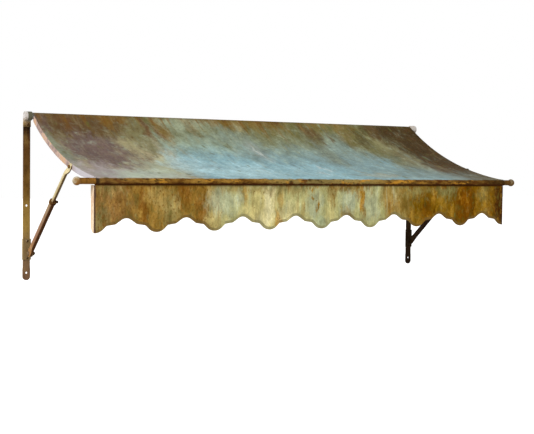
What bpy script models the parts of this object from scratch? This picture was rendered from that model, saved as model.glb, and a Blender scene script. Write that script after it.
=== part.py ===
"""A sheet metal awning with its frame, as it hangs on a wall. Metres, +Z up.

X runs along the awning, the wall is the plane Y = 0 and the front faces -Y.
Sections are drawn as (depth, height), where depth is the distance out from the wall.
Sheets and straps are drawn as their middle surface and then given their thickness.
"""
import bpy
import bmesh
from math import acos, asin, atan2, ceil, cos, pi, radians, sin, sqrt, tan
from mathutils import Matrix, Vector

# The whole awning
CANOPY_WIDTH = 1.600
VALANCE_OVERHANG = 0.0065
PROJECTION = 0.556
BACK_ROD_HEIGHT = 0.548
FRONT_ROD_HEIGHT = 0.341
GAP = 0.0003

# Sheet metal
SHEET_THICKNESS = 0.0015
FOLD_RADIUS = 0.003
BACK_SLOPE = radians(36.8)
FRONT_SLOPE = radians(7.4)
SIDE_FLANGE_DEPTH = 0.017
FLANGE_NOSE_DEPTH = 0.010
FLANGE_NOSE_SHARE = 0.8
BACK_ROLL_END = radians(300)
FRONT_ROLL_END = radians(-80)
CURL_END = radians(128)

# Scalloped edge, heights measured down from the front rod's axis
ARCH_COUNT = 8
LOBE_DROP = 0.1535
SHOULDER_DROP = 0.1325
SHOULDER_RISE = 0.004
ARCH_DROP = 0.1105
LOBE_RADIUS = 0.038
LOBE_FLANK = radians(43)
ARCH_RADIUS = 0.028
ARCH_FLANK = radians(34)
SHOULDER_ROUNDING = 0.009
END_LOBE_INSET = 0.003
RETURN_DEPTH = 0.024
RETURN_RISE = 0.017

# Rods and finials
ROD_DIAMETER = 0.019
FRONT_ROD_STICKS_OUT = 0.0365
FRONT_ROD_SHIFT = -0.008
BACK_ROD_STICKS_OUT = 0.0015
FINIAL_DIAMETER = 0.026
SPIGOT_DIAMETER = 0.008
SPIGOT_LENGTH = 0.011

# Wall straps
STRAP_WIDTH = 0.024
STRAP_THICKNESS = 0.005
STRAP_CLEARANCE = 0.001
SPADE_WIDTH = 0.026
SPADE_LENGTH = 0.036
SPADE_TAPER = 0.009
SPADE_HOLE_HEIGHT = 0.025
MIDDLE_HOLE_HEIGHT = 0.250
SCREW_HOLE_DIAMETER = 0.0075
TAIL_BEND_RADIUS = 0.006
TAIL_LENGTH = 0.018
EYE_RIVET_MARGIN = 0.0085
EYE_RIVET_HEAD = 0.011
EYE_RIVET_CROWN = 0.004
EYE_RIVET_SHANK = 0.006

# Foot brackets
FOOT_LENGTH = 0.070
FOOT_THICKNESS = 0.003
FOOT_BELOW_PIVOT = 0.022
FOOT_LIP_THICKNESS = 0.0022
FOOT_LIP_BACK = 0.0015
EAR_RADIUS = 0.012
FOOT_RIVET_HEAD = 0.009
FOOT_RIVET_CROWN = 0.0032
FOOT_RIVET_SHANK = 0.005
FOOT_RIVET_MARGIN = 0.0068

# Struts
PIVOT_HEIGHT = 0.091
STRUT_REACH = 0.365
TUBE_DIAMETER = 0.019
TUBE_LENGTH = 0.269
TUBE_TONGUE_THICKNESS = 0.008
TUBE_TONGUE_WIDTH = 0.024
TUBE_TONGUE_LENGTH = 0.014
TUBE_TAPER = 0.026
TUBE_BORE_DEPTH = 0.080
STRUT_ROD_DIAMETER = 0.0127
ROD_OVERLAP = 0.060
ROD_TONGUE_THICKNESS = 0.005
ROD_TONGUE_WIDTH = 0.020
ROD_TAPER = 0.024
COLLAR_DIAMETER = 0.024
COLLAR_LENGTH = 0.010
COLLAR_CHAMFER = 0.0008
SET_SCREW_SHANK = 0.005
SET_SCREW_HEAD = 0.009
SET_SCREW_HEAD_LENGTH = 0.005
PIVOT_BOLT_SHANK = 0.008
PIVOT_BOLT_HEAD = 0.017
PIVOT_BOLT_CROWN = 0.0055
PIVOT_NUT_WIDTH = 0.013
PIVOT_NUT_THICKNESS = 0.0065
PIVOT_THREAD_SHOWS = 0.003
STRUT_RIVET_SHANK = 0.006
STRUT_RIVET_HEAD = 0.012
STRUT_RIVET_CROWN = 0.006
STRUT_RIVET_TAIL = 0.011
STRUT_RIVET_TAIL_CROWN = 0.003

# Facets on round shapes
ROD_SIDES = 32
BALL_SIDES = 24
SMALL_SIDES = 16
BEND_STEP = radians(12)

# Lengths that follow from the ones above
HALF_WIDTH = CANOPY_WIDTH / 2
HALF_SHEET = SHEET_THICKNESS / 2
ROD_RADIUS = ROD_DIAMETER / 2
ROLL_INNER = ROD_RADIUS + GAP
ROLL_MIDDLE = ROLL_INNER + HALF_SHEET
FOLD_MIDDLE = FOLD_RADIUS - HALF_SHEET
PANEL_EDGE = HALF_WIDTH - FOLD_RADIUS
VALANCE_HALF = HALF_WIDTH + VALANCE_OVERHANG
VALANCE_EDGE = VALANCE_HALF - FOLD_RADIUS
BACK_ROD = Vector((STRAP_THICKNESS + ROLL_INNER, BACK_ROD_HEIGHT))
FRONT_ROD = Vector((PROJECTION, FRONT_ROD_HEIGHT))
STRAP_INNER = HALF_WIDTH + STRAP_CLEARANCE
STRAP_CENTRE = STRAP_INNER + STRAP_WIDTH / 2
FLANGE_START = BACK_ROD.x + ROLL_INNER + STRAP_THICKNESS + 0.003
FLANGE_FINISH = PROJECTION - ROLL_INNER - SHEET_THICKNESS - 0.003
STRUT_X = HALF_WIDTH + 0.0015 + STRUT_ROD_DIAMETER / 2
ROD_TONGUE_X = HALF_WIDTH + GAP + ROD_TONGUE_THICKNESS / 2
EAR_INNER = STRUT_X - TUBE_TONGUE_THICKNESS / 2 - GAP - FOOT_THICKNESS
FOOT_BACK = STRAP_THICKNESS + GAP
FOOT_FRONT = FOOT_BACK + FOOT_THICKNESS
PIVOT = Vector((FOOT_FRONT + TUBE_TONGUE_WIDTH / 2 + 0.0012, PIVOT_HEIGHT))
FOOT_BOTTOM = PIVOT_HEIGHT - FOOT_BELOW_PIVOT
FOOT_TOP = FOOT_BOTTOM + FOOT_LENGTH
FOOT_RIVET_HEIGHTS = (FOOT_BOTTOM + FOOT_RIVET_MARGIN, FOOT_TOP - FOOT_RIVET_MARGIN)


def collection(name):
    made = bpy.data.collections.new(name)
    bpy.context.scene.collection.children.link(made)
    return made


def material(name, colour, roughness, metallic):
    made = bpy.data.materials.new(name)
    made.use_nodes = True
    shader = made.node_tree.nodes["Principled BSDF"]
    shader.inputs["Base Color"].default_value = (*colour, 1.0)
    shader.inputs["Roughness"].default_value = roughness
    shader.inputs["Metallic"].default_value = metallic
    made.diffuse_color = (*colour, 1.0)
    return made


def linked(name, mesh, look, where):
    made = bpy.data.objects.new(name, mesh)
    where.objects.link(made)
    if look:
        mesh.materials.append(look)
    return made


def from_bmesh(name, shape, look, where):
    mesh = bpy.data.meshes.new(name)
    shape.to_mesh(mesh)
    shape.free()
    return linked(name, mesh, look, where)


def in_room(x, point):
    """A section point (depth, height) at a place along the awning."""
    return Vector((x, -point[0], point[1]))


def settle(made):
    """Makes what the modifiers give the object's own mesh, smooth up to its edges."""
    view = bpy.context.evaluated_depsgraph_get()
    mesh = bpy.data.meshes.new_from_object(made.evaluated_get(view))
    made.modifiers.clear()
    made.data = mesh
    mesh.shade_smooth()
    mesh.set_sharp_from_angle(angle=radians(35))
    return made


def thicken(made, thickness):
    change = made.modifiers.new("thickness", "SOLIDIFY")
    change.thickness = thickness
    change.offset = 0.0
    change.use_even_offset = True
    change.use_quality_normals = True


def draped_grid(rows, columns, place):
    """A grid of vertices, each moved to place(row, column)."""
    shape = bmesh.new()
    bmesh.ops.create_grid(shape, x_segments=columns - 1, y_segments=rows - 1, size=1)
    shape.verts.ensure_lookup_table()
    for row in range(rows):
        for column in range(columns):
            shape.verts[row * columns + column].co = place(row, column)
    return shape


def turned(name, profile, start, axis, sides, look, where):
    """A turned piece. The profile of (radius, along) points goes up its outer side from the start."""
    mesh = bpy.data.meshes.new(name)
    points = [(radius, 0, along) for radius, along in reversed(profile)]
    lines = [(k, k + 1) for k in range(len(points) - 1)]
    mesh.from_pydata(points, lines, [])
    made = linked(name, mesh, look, where)
    turning = made.modifiers.new("turning", "SCREW")
    turning.axis = "Z"
    turning.angle = 2 * pi
    turning.steps = sides
    turning.render_steps = sides
    turning.use_merge_vertices = True
    turning.merge_threshold = 0.00005
    made.location = start
    made.rotation_euler = Vector(axis).to_track_quat("Z", "Y").to_euler()
    bpy.context.view_layer.update()
    return settle(made)


def add_pin(shape, start, end, diameter, sides=SMALL_SIDES):
    """Adds a closed cylinder between two points."""
    middle = (start + end) / 2
    along = end - start
    place = Matrix.Translation(middle) @ along.to_track_quat("Z", "Y").to_matrix().to_4x4()
    bmesh.ops.create_cone(shape, cap_ends=True, segments=sides, radius1=diameter / 2, radius2=diameter / 2,
                          depth=along.length, matrix=place)


def combine(target, name, tool, operation):
    tool.hide_render = True
    tool.display_type = "WIRE"
    change = target.modifiers.new(name, "BOOLEAN")
    change.operation = operation
    change.solver = "EXACT"
    change.object = tool


def drill(target, name, holes, cutters):
    """Takes round holes out of an object, each given as (start, end, diameter)."""
    shape = bmesh.new()
    for start, end, diameter in holes:
        add_pin(shape, start, end, diameter, 24 if diameter > 0.009 else SMALL_SIDES)
    combine(target, name, from_bmesh(name, shape, None, cutters), "DIFFERENCE")


def plate(name, outline, thickness, look, where):
    """A flat plate of the given outline, with its middle on the object's own XY plane."""
    curve = bpy.data.curves.new(name, "CURVE")
    curve.dimensions = "2D"
    curve.fill_mode = "BOTH"
    curve.extrude = thickness / 2
    line = curve.splines.new("POLY")
    line.points.add(len(outline) - 1)
    for point, place in zip(line.points, outline):
        point.co = (place[0], place[1], 0, 1)
    line.use_cyclic_u = True
    drawn = bpy.data.objects.new(name + "_outline", curve)
    where.objects.link(drawn)
    view = bpy.context.evaluated_depsgraph_get()
    mesh = bpy.data.meshes.new_from_object(drawn.evaluated_get(view))
    bpy.data.objects.remove(drawn, do_unlink=True)
    shape = bmesh.new()
    shape.from_mesh(mesh)
    bmesh.ops.remove_doubles(shape, verts=shape.verts, dist=0.00001)
    bmesh.ops.recalc_face_normals(shape, faces=shape.faces)
    shape.to_mesh(mesh)
    shape.free()
    mesh.name = name
    mesh.materials.clear()
    return linked(name, mesh, look, where)


def arc(centre, radius, first, last, step=BEND_STEP):
    """Points on a circle in the section, each with its outward direction."""
    count = max(2, ceil(abs(last - first) / step))
    made = []
    for k in range(count + 1):
        turn = first + (last - first) * k / count
        out = Vector((cos(turn), sin(turn)))
        made.append((centre + out * radius, out))
    return made


def canopy_curve():
    """The canopy's sweep between the two rods, tangent to both rolls, as (point, outward direction)."""
    first = BACK_ROD + Vector((sin(BACK_SLOPE), cos(BACK_SLOPE))) * ROLL_MIDDLE
    last = FRONT_ROD + Vector((sin(FRONT_SLOPE), cos(FRONT_SLOPE))) * ROLL_MIDDLE
    fall_back = -tan(BACK_SLOPE)
    fall_front = -tan(FRONT_SLOPE)
    meet_depth = (last.y - first.y + fall_back * first.x - fall_front * last.x) / (fall_back - fall_front)
    meet = Vector((meet_depth, first.y + fall_back * (meet_depth - first.x)))
    steps = 28
    made = []
    for k in range(1, steps + 1):
        t = k / (steps + 0.5)
        point = first * (1 - t) ** 2 + meet * (2 * t * (1 - t)) + last * t ** 2
        along = ((meet - first) * (1 - t) + (last - meet) * t).normalized()
        made.append((point, Vector((-along.y, along.x))))
    return made


def canopy_at(depth):
    """The canopy's middle surface and its outward direction at a distance from the wall."""
    curve = canopy_curve()
    for (a, out_a), (b, out_b) in zip(curve, curve[1:]):
        if a.x <= depth <= b.x:
            share = (depth - a.x) / (b.x - a.x)
            return a.lerp(b, share), out_a.lerp(out_b, share).normalized()
    return curve[-1]


def flange_reach(depth):
    """The side flange's depth, which narrows to its nose near the front rod."""
    begin = PROJECTION * FLANGE_NOSE_SHARE
    share = min(1.0, max(0.0, (depth - begin) / (FLANGE_FINISH - begin)))
    return SIDE_FLANGE_DEPTH + (FLANGE_NOSE_DEPTH - SIDE_FLANGE_DEPTH) * share


def canopy_rows():
    """The canopy's section from its end under the back rod to its end under the front rod."""
    ends = [canopy_at(FLANGE_START), canopy_at(FLANGE_FINISH)]
    middle = [row for row in canopy_curve() if all(abs(row[0].x - end[0].x) > 0.006 for end in ends)]
    middle = sorted(middle + ends, key=lambda row: row[0].x)
    back = arc(BACK_ROD, ROLL_MIDDLE, BACK_ROLL_END, pi / 2 - BACK_SLOPE)
    front = arc(FRONT_ROD, ROLL_MIDDLE, pi / 2 - FRONT_SLOPE, FRONT_ROLL_END)
    rows = [(point, out, 0.0, PANEL_EDGE) for point, out in back]
    for point, out in middle:
        flanged = FLANGE_START - 1e-6 <= point.x <= FLANGE_FINISH + 1e-6
        rows.append((point, out, flange_reach(point.x) if flanged else 0.0, PANEL_EDGE))
    return rows + [(point, out, 0.0, VALANCE_EDGE) for point, out in front]


def canopy_surface():
    """The canopy from side to side, with a flange folded down along each side and a wider front roll."""
    rows = canopy_rows()
    half = [(FOLD_MIDDLE, None)]
    for bend in (90, 60, 30, 0):
        turn = radians(bend)
        half.append((FOLD_MIDDLE * sin(turn), FOLD_MIDDLE * (1 - cos(turn))))
    across = [(-x, drop) for x, drop in half] + list(reversed(half))

    def place(row, column):
        point, out, reach, flat = rows[row]
        beyond, drop = across[column]
        x = beyond + (flat if column >= len(half) else -flat)
        return in_room(x, point - out * (reach if drop is None else drop))

    shape = draped_grid(len(rows), len(across), place)
    shape.faces.ensure_lookup_table()
    unused = []
    cells = len(across) - 1
    for number, face in enumerate(shape.faces):
        row, column = divmod(number, cells)
        flanged = rows[row][2] > 0 and rows[row + 1][2] > 0
        if not flanged and column != cells // 2:
            unused.append(face)
    bmesh.ops.delete(shape, geom=unused, context="FACES")
    return shape


def rounded(corners, radii, step=radians(10)):
    """A line through the corners, each inner one rounded by its radius."""
    made = [corners[0]]
    for before, corner, after, radius in zip(corners, corners[1:], corners[2:], radii):
        back = (before - corner).normalized()
        ahead = (after - corner).normalized()
        opening = acos(max(-1.0, min(1.0, back.dot(ahead))))
        run = radius / tan(opening / 2)
        centre = corner + (back + ahead).normalized() * (radius / sin(opening / 2))
        first = corner + back * run - centre
        last = corner + ahead * run - centre
        turn = atan2(first.x * last.y - first.y * last.x, first.dot(last))
        count = max(2, ceil(abs(turn) / step))
        for k in range(count + 1):
            made.append(centre + (Matrix.Rotation(turn * k / count, 2) @ first))
    made.append(corners[-1])
    return made


def scallop_line():
    """The valance's lower edge between its two folded ends, as (x, height)."""
    lobe = FRONT_ROD_HEIGHT - LOBE_DROP
    shoulder = FRONT_ROD_HEIGHT - SHOULDER_DROP
    arch = FRONT_ROD_HEIGHT - ARCH_DROP
    lobe_point = lobe - LOBE_RADIUS * (1 / cos(LOBE_FLANK) - 1)
    arch_point = arch + ARCH_RADIUS * (1 / cos(ARCH_FLANK) - 1)
    lobe_half = (shoulder - lobe_point) / tan(LOBE_FLANK)
    arch_foot = shoulder + SHOULDER_RISE
    arch_half = (arch_point - arch_foot) / tan(ARCH_FLANK)
    first = -VALANCE_HALF + END_LOBE_INSET
    pitch = -2 * first / ARCH_COUNT
    corners = []
    radii = []
    for k in range(ARCH_COUNT + 1):
        lobe_x = first + k * pitch
        arch_x = lobe_x + pitch / 2
        for middle, half, foot, point, radius in ((lobe_x, lobe_half, shoulder, lobe_point, LOBE_RADIUS),
                                                  (arch_x, arch_half, arch_foot, arch_point, ARCH_RADIUS)):
            corners += [Vector((middle - half, foot)), Vector((middle, point)), Vector((middle + half, foot))]
            radii += [SHOULDER_ROUNDING, radius, SHOULDER_ROUNDING]
    line = rounded(corners, radii[1:-1])
    inside = [p for p in line if abs(p.x) < VALANCE_EDGE - 0.0004]
    return [Vector((-VALANCE_EDGE, inside[0].y))] + inside + [Vector((VALANCE_EDGE, inside[-1].y))]


def curl_line():
    """The valance's section above its flat front: back under the bead, then up behind the front rod."""
    kink = SHEET_THICKNESS
    corner = Vector((PROJECTION - kink, FRONT_ROD_HEIGHT - ROLL_MIDDLE - kink))
    line = [corner + Vector((cos(a), sin(a))) * kink for a in (0, pi / 4, pi / 2)]
    begin = 3 * pi / 2 - asin(min(1.0, 2.2 * kink / ROLL_MIDDLE))
    return line + [point for point, _ in arc(FRONT_ROD, ROLL_MIDDLE, begin, CURL_END)]


def extruded(shape, edge, places):
    """Extrudes an edge; places takes each new vertex's old position to its new one. Gives the new edge."""
    made = bmesh.ops.extrude_edge_only(shape, edges=[edge])["geom"]
    ends = [item for item in made if isinstance(item, bmesh.types.BMVert)]
    for vertex in ends:
        vertex.co = places(vertex.co)
    return shape.edges.get(ends)


def fold_end(shape, edge, side):
    """Folds an end of the valance back round a corner and on to its full depth."""
    axis = Vector((side * VALANCE_EDGE, -PROJECTION + FOLD_MIDDLE, 0))
    for _ in range(3):
        turn = Matrix.Rotation(side * radians(30), 3, "Z")
        edge = extruded(shape, edge, lambda co: axis + turn @ (co - axis))
    bottom = min(v.co.z for v in edge.verts)
    steps = 3
    length = RETURN_DEPTH - FOLD_RADIUS
    for k in range(1, steps + 1):
        rise = RETURN_RISE * ((k / steps) ** 2 - ((k - 1) / steps) ** 2)
        edge = extruded(shape, edge, lambda co: co + Vector((0, length / steps, rise if co.z < bottom + 0.05 else 0)))


def valance_surface():
    """The scalloped front, curled round behind the rod at its top and folded back at its ends."""
    curl = curl_line()
    shape = bmesh.new()
    bottom = [shape.verts.new((p.x, -PROJECTION, p.y)) for p in scallop_line()]
    right = shape.verts.new((VALANCE_EDGE, -PROJECTION, curl[0].y))
    left = shape.verts.new((-VALANCE_EDGE, -PROJECTION, curl[0].y))
    shape.faces.new(bottom + [right, left])
    top = shape.edges.get((left, right))
    fold_end(shape, shape.edges.get((bottom[0], left)), -1)
    fold_end(shape, shape.edges.get((bottom[-1], right)), 1)
    for point in curl[1:]:
        top = extruded(shape, top, lambda co: in_room(co.x, point))
    return shape


def strap_line():
    """The strap's middle line from its foot up the wall, round the back rod and down to the tail's end."""
    half = STRAP_THICKNESS / 2
    reach = ROLL_INNER + half
    tail_depth = STRAP_THICKNESS + GAP + half
    leave = -acos((tail_depth - BACK_ROD.x + TAIL_BEND_RADIUS) / (reach + TAIL_BEND_RADIUS))
    around = [point for point, _ in arc(BACK_ROD, reach, pi, leave)]
    bend = BACK_ROD + Vector((cos(leave), sin(leave))) * (reach + TAIL_BEND_RADIUS)
    back = [point for point, _ in arc(bend, TAIL_BEND_RADIUS, leave + pi, pi, radians(15))]
    tail_end = Vector((tail_depth, bend.y - TAIL_LENGTH))
    spade = SPADE_WIDTH / 2
    heights = [spade * (1 - cos(radians(a))) for a in (12, 24, 38, 52, 70, 90)]
    heights += [SPADE_LENGTH + SPADE_TAPER * share for share in (0, 0.33, 0.67, 1)]
    return [Vector((half, h)) for h in heights] + around + back[1:] + [tail_end]


def strap_half_width(point):
    """Half the strap's width, wider and rounded at the foot."""
    spade = SPADE_WIDTH / 2
    if point.y < spade:
        return sqrt(spade ** 2 - (spade - point.y) ** 2)
    share = min(1.0, max(0.0, (point.y - SPADE_LENGTH) / SPADE_TAPER))
    share = share * share * (3 - 2 * share)
    return spade + (STRAP_WIDTH / 2 - spade) * share


def strap_surface(side):
    line = strap_line()

    def place(row, column):
        wide = strap_half_width(line[row])
        return in_room(side * STRAP_CENTRE + (wide if column else -wide), line[row])

    return draped_grid(len(line), 2, place)


def eye_rivet_height():
    return strap_line()[-1].y + EYE_RIVET_MARGIN


def strut_line():
    """The strut's pivot and its upper rivet in the section, and the direction from one to the other."""
    point, out = canopy_at(STRUT_REACH)
    head = point - out * (SIDE_FLANGE_DEPTH / 2)
    return PIVOT, head, (head - PIVOT).normalized()


def eased(share):
    return share * share * (3 - 2 * share)


def section_ring(side, along, centre, wide, thick, x, squareness):
    """A ring across the strut: an ellipse at squareness 2, and nearly a rectangle at 7."""
    count = 24
    across = Vector((-along.y, along.x))
    ring = []
    for k in range(count):
        turn = 2 * pi * (k + 0.5) / count
        lift = wide * abs(cos(turn)) ** (2 / squareness) * (1 if cos(turn) > 0 else -1)
        aside = thick * abs(sin(turn)) ** (2 / squareness) * (1 if sin(turn) > 0 else -1)
        ring.append(in_room(side * (x + aside), centre + across * lift))
    return ring


def loft(name, stations, side, look, where):
    """A closed bar through sections (distance, half width, half thickness, x, squareness) along the strut."""
    foot, _, along = strut_line()
    shape = bmesh.new()
    rings = []
    for distance, wide, thick, x, squareness in stations:
        ring = section_ring(side, along, foot + along * distance, wide, thick, x, squareness)
        rings.append([shape.verts.new(p) for p in ring])
    for low, high in zip(rings, rings[1:]):
        for k in range(len(low)):
            n = (k + 1) % len(low)
            shape.faces.new((low[k], low[n], high[n], high[k]))
    shape.faces.new(rings[0])
    shape.faces.new(rings[-1])
    bmesh.ops.recalc_face_normals(shape, faces=shape.faces)
    made = from_bmesh(name, shape, look, where)
    made.data.shade_smooth()
    made.data.set_sharp_from_angle(angle=radians(35))
    return made


def tube_stations():
    """A flat round-ended tongue at the pivot, drawn out into a round tube."""
    wide = TUBE_TONGUE_WIDTH / 2
    thick = TUBE_TONGUE_THICKNESS / 2
    radius = TUBE_DIAMETER / 2
    stations = []
    for angle in (80, 62, 42, 21, 0):
        turn = radians(angle)
        stations.append((-wide * sin(turn), wide * cos(turn), thick, STRUT_X, 7))
    for share in (0, 0.2, 0.4, 0.6, 0.8, 1):
        ease = eased(share)
        stations.append((TUBE_TONGUE_LENGTH + TUBE_TAPER * share, wide + (radius - wide) * ease,
                         thick + (radius - thick) * ease, STRUT_X, 7 - 5 * ease ** 0.35))
    stations.append((TUBE_LENGTH, radius, radius, STRUT_X, 2))
    return stations


def rod_stations():
    """A round rod that slides in the tube, drawn out into a flat tongue on the canopy's flange."""
    foot, head, _ = strut_line()
    total = (head - foot).length
    wide = ROD_TONGUE_WIDTH / 2
    thick = ROD_TONGUE_THICKNESS / 2
    radius = STRUT_ROD_DIAMETER / 2
    stations = [(TUBE_LENGTH - ROD_OVERLAP, radius, radius, STRUT_X, 2)]
    begin = total - wide - ROD_TAPER - 0.002
    for share in (0, 0.2, 0.4, 0.6, 0.8, 1):
        ease = eased(share)
        stations.append((begin + ROD_TAPER * share, radius + (wide - radius) * ease,
                         radius + (thick - radius) * ease, STRUT_X + (ROD_TONGUE_X - STRUT_X) * ease,
                         2 + 5 * ease))
    for angle in (0, 21, 42, 62, 80):
        turn = radians(angle)
        stations.append((total + wide * sin(turn), wide * cos(turn), thick, ROD_TONGUE_X, 7))
    return stations


def in_strut(side, distance, inward=0.0):
    """A point on the strut's axis, or beside it towards the awning's middle."""
    foot, _, along = strut_line()
    return in_room(side * (STRUT_X - inward), foot + along * distance)


def crown(diameter, height):
    """A domed head's outline from its rim to its top, standing at zero."""
    radius = diameter / 2
    ball = (radius ** 2 + height ** 2) / (2 * height)
    full = asin(min(1.0, radius / ball))
    turns = [full * (1 - k / 4) for k in range(4)]
    return [(ball * sin(turn), height - ball * (1 - cos(turn))) for turn in turns] + [(0, height)]


def rivet_profile(head, height, shank, length):
    """A rivet with its head above zero and its shank below."""
    return [(0, -length), (shank / 2, -length), (shank / 2, 0)] + crown(head, height)


def finial_profile():
    """A ball with a flat against the rod and a blind bore for the rod's spigot, from the bore's bottom."""
    ball = FINIAL_DIAMETER / 2
    flat = ROD_RADIUS + GAP
    centre = sqrt(ball ** 2 - flat ** 2)
    bore = SPIGOT_DIAMETER / 2 + GAP
    made = [(0, SPIGOT_LENGTH + GAP), (bore, SPIGOT_LENGTH + GAP), (bore, 0)]
    first = pi - asin(flat / ball)
    steps = 11
    turns = [first * (1 - k / steps) for k in range(steps)]
    made += [(ball * sin(turn), centre + ball * cos(turn)) for turn in turns]
    return made + [(0, centre + ball)]


def across_strap(side, height, diameter, front):
    """A hole from front to back through a strap."""
    x = side * STRAP_CENTRE
    return Vector((x, -front, height)), Vector((x, 0.002, height)), diameter


def across_awning(side, point, first, last, diameter):
    """A hole along X, between two distances from the awning's middle."""
    return in_room(side * first, point), in_room(side * last, point), diameter


def make_sheets(parts, cutters):
    patina = material("canopy_patina", (0.30, 0.33, 0.28), 0.55, 0.35)
    old_gold = material("valance_patina", (0.40, 0.30, 0.13), 0.55, 0.35)
    canopy = from_bmesh("canopy_sheet", canopy_surface(), patina, parts)
    thicken(canopy, SHEET_THICKNESS)
    _, head, _ = strut_line()
    holes = [across_awning(side, head, HALF_WIDTH - 0.004, HALF_WIDTH + 0.002, STRUT_RIVET_SHANK + 2 * GAP)
             for side in (-1, 1)]
    drill(canopy, "flange_holes", holes, cutters)
    valance = from_bmesh("valance_sheet", valance_surface(), old_gold, parts)
    thicken(valance, SHEET_THICKNESS)
    settle(canopy)
    settle(valance)


def make_rods(parts):
    iron = material("rod_iron", (0.20, 0.12, 0.05), 0.45, 0.5)
    grey = material("rod_end_iron", (0.32, 0.30, 0.27), 0.4, 0.6)
    ball = material("finial_iron", (0.36, 0.24, 0.15), 0.35, 0.6)
    end = STRAP_INNER + STRAP_WIDTH + BACK_ROD_STICKS_OUT
    shape = bmesh.new()
    add_pin(shape, in_room(-end, BACK_ROD), in_room(end, BACK_ROD), ROD_DIAMETER, ROD_SIDES)
    settle(from_bmesh("back_rod", shape, grey, parts))
    reach = VALANCE_HALF + FRONT_ROD_STICKS_OUT
    spigot = SPIGOT_DIAMETER / 2
    length = 2 * reach
    profile = [(0, -SPIGOT_LENGTH), (spigot, -SPIGOT_LENGTH), (spigot, 0), (ROD_RADIUS, 0), (ROD_RADIUS, length),
               (spigot, length), (spigot, length + SPIGOT_LENGTH), (0, length + SPIGOT_LENGTH)]
    start = in_room(FRONT_ROD_SHIFT - reach, FRONT_ROD)
    turned("front_rod", profile, start, (1, 0, 0), ROD_SIDES, iron, parts)
    for name, side in (("left_finial", -1), ("right_finial", 1)):
        face = in_room(FRONT_ROD_SHIFT + side * (reach + GAP), FRONT_ROD)
        turned(name, finial_profile(), face, (side, 0, 0), BALL_SIDES, ball, parts)


def make_strap(name, side, parts, cutters, look, rivet_look):
    strap = from_bmesh(name + "_strap", strap_surface(side), look, parts)
    thicken(strap, STRAP_THICKNESS)
    front = 2 * STRAP_THICKNESS + 2 * GAP
    holes = [across_strap(side, SPADE_HOLE_HEIGHT, SCREW_HOLE_DIAMETER, front),
             across_strap(side, MIDDLE_HOLE_HEIGHT, SCREW_HOLE_DIAMETER, front),
             across_strap(side, eye_rivet_height(), EYE_RIVET_SHANK + 2 * GAP, front + 0.002)]
    holes += [across_strap(side, height, FOOT_RIVET_SHANK + 2 * GAP, front) for height in FOOT_RIVET_HEIGHTS]
    drill(strap, name + "_strap_holes", holes, cutters)
    settle(strap)
    profile = rivet_profile(EYE_RIVET_HEAD, EYE_RIVET_CROWN, EYE_RIVET_SHANK, front - GAP)
    start = Vector((side * STRAP_CENTRE, -front, eye_rivet_height()))
    turned(name + "_eye_rivet", profile, start, (0, -1, 0), SMALL_SIDES, rivet_look, parts)


def saddle_outline():
    """The foot bracket from above: a plate on the strap's face with a lip back along each edge."""
    inner = STRAP_WIDTH / 2 + GAP
    outer = inner + FOOT_LIP_THICKNESS
    half = [(inner, FOOT_BACK), (inner, FOOT_LIP_BACK), (outer, FOOT_LIP_BACK), (outer, FOOT_FRONT - 0.001),
            (outer - 0.001, FOOT_FRONT)]
    return [(x, -depth) for x, depth in half] + [(-x, -depth) for x, depth in reversed(half)]


def ear_outline():
    """The foot bracket's ear from the side, rounded about the pivot."""
    root = FOOT_FRONT - FOOT_THICKNESS / 2
    nose = [tuple(point) for point, _ in arc(PIVOT, EAR_RADIUS, -pi / 2, pi / 2, radians(15))]
    return [(root, PIVOT_HEIGHT - EAR_RADIUS)] + nose + [(root, PIVOT_HEIGHT + EAR_RADIUS)]


def make_foot(name, side, parts, cutters, look, bolt_look):
    foot = plate(name + "_foot", saddle_outline(), FOOT_LENGTH, look, parts)
    foot.location = (side * STRAP_CENTRE, 0, (FOOT_BOTTOM + FOOT_TOP) / 2)
    ear = plate(name + "_ear", ear_outline(), FOOT_THICKNESS, None, cutters)
    ear.location = (side * (EAR_INNER + FOOT_THICKNESS / 2), 0, 0)
    ear.rotation_euler = (pi / 2, 0, -pi / 2)
    combine(foot, name + "_ear", ear, "UNION")
    holes = [across_strap(side, height, FOOT_RIVET_SHANK + 2 * GAP, 0.012) for height in FOOT_RIVET_HEIGHTS]
    holes.append(across_awning(side, PIVOT, EAR_INNER - 0.002, EAR_INNER + FOOT_THICKNESS + 0.002,
                               PIVOT_BOLT_SHANK + 2 * GAP))
    drill(foot, name + "_foot_holes", holes, cutters)
    settle(foot)
    profile = rivet_profile(FOOT_RIVET_HEAD, FOOT_RIVET_CROWN, FOOT_RIVET_SHANK, FOOT_FRONT)
    for height, word in zip(FOOT_RIVET_HEIGHTS, ("lower", "upper")):
        start = Vector((side * STRAP_CENTRE, -FOOT_FRONT - GAP, height))
        turned(name + "_foot_rivet_" + word, profile, start, (0, -1, 0), SMALL_SIDES, bolt_look, parts)
    make_pivot(name, side, parts, cutters, bolt_look)


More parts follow.
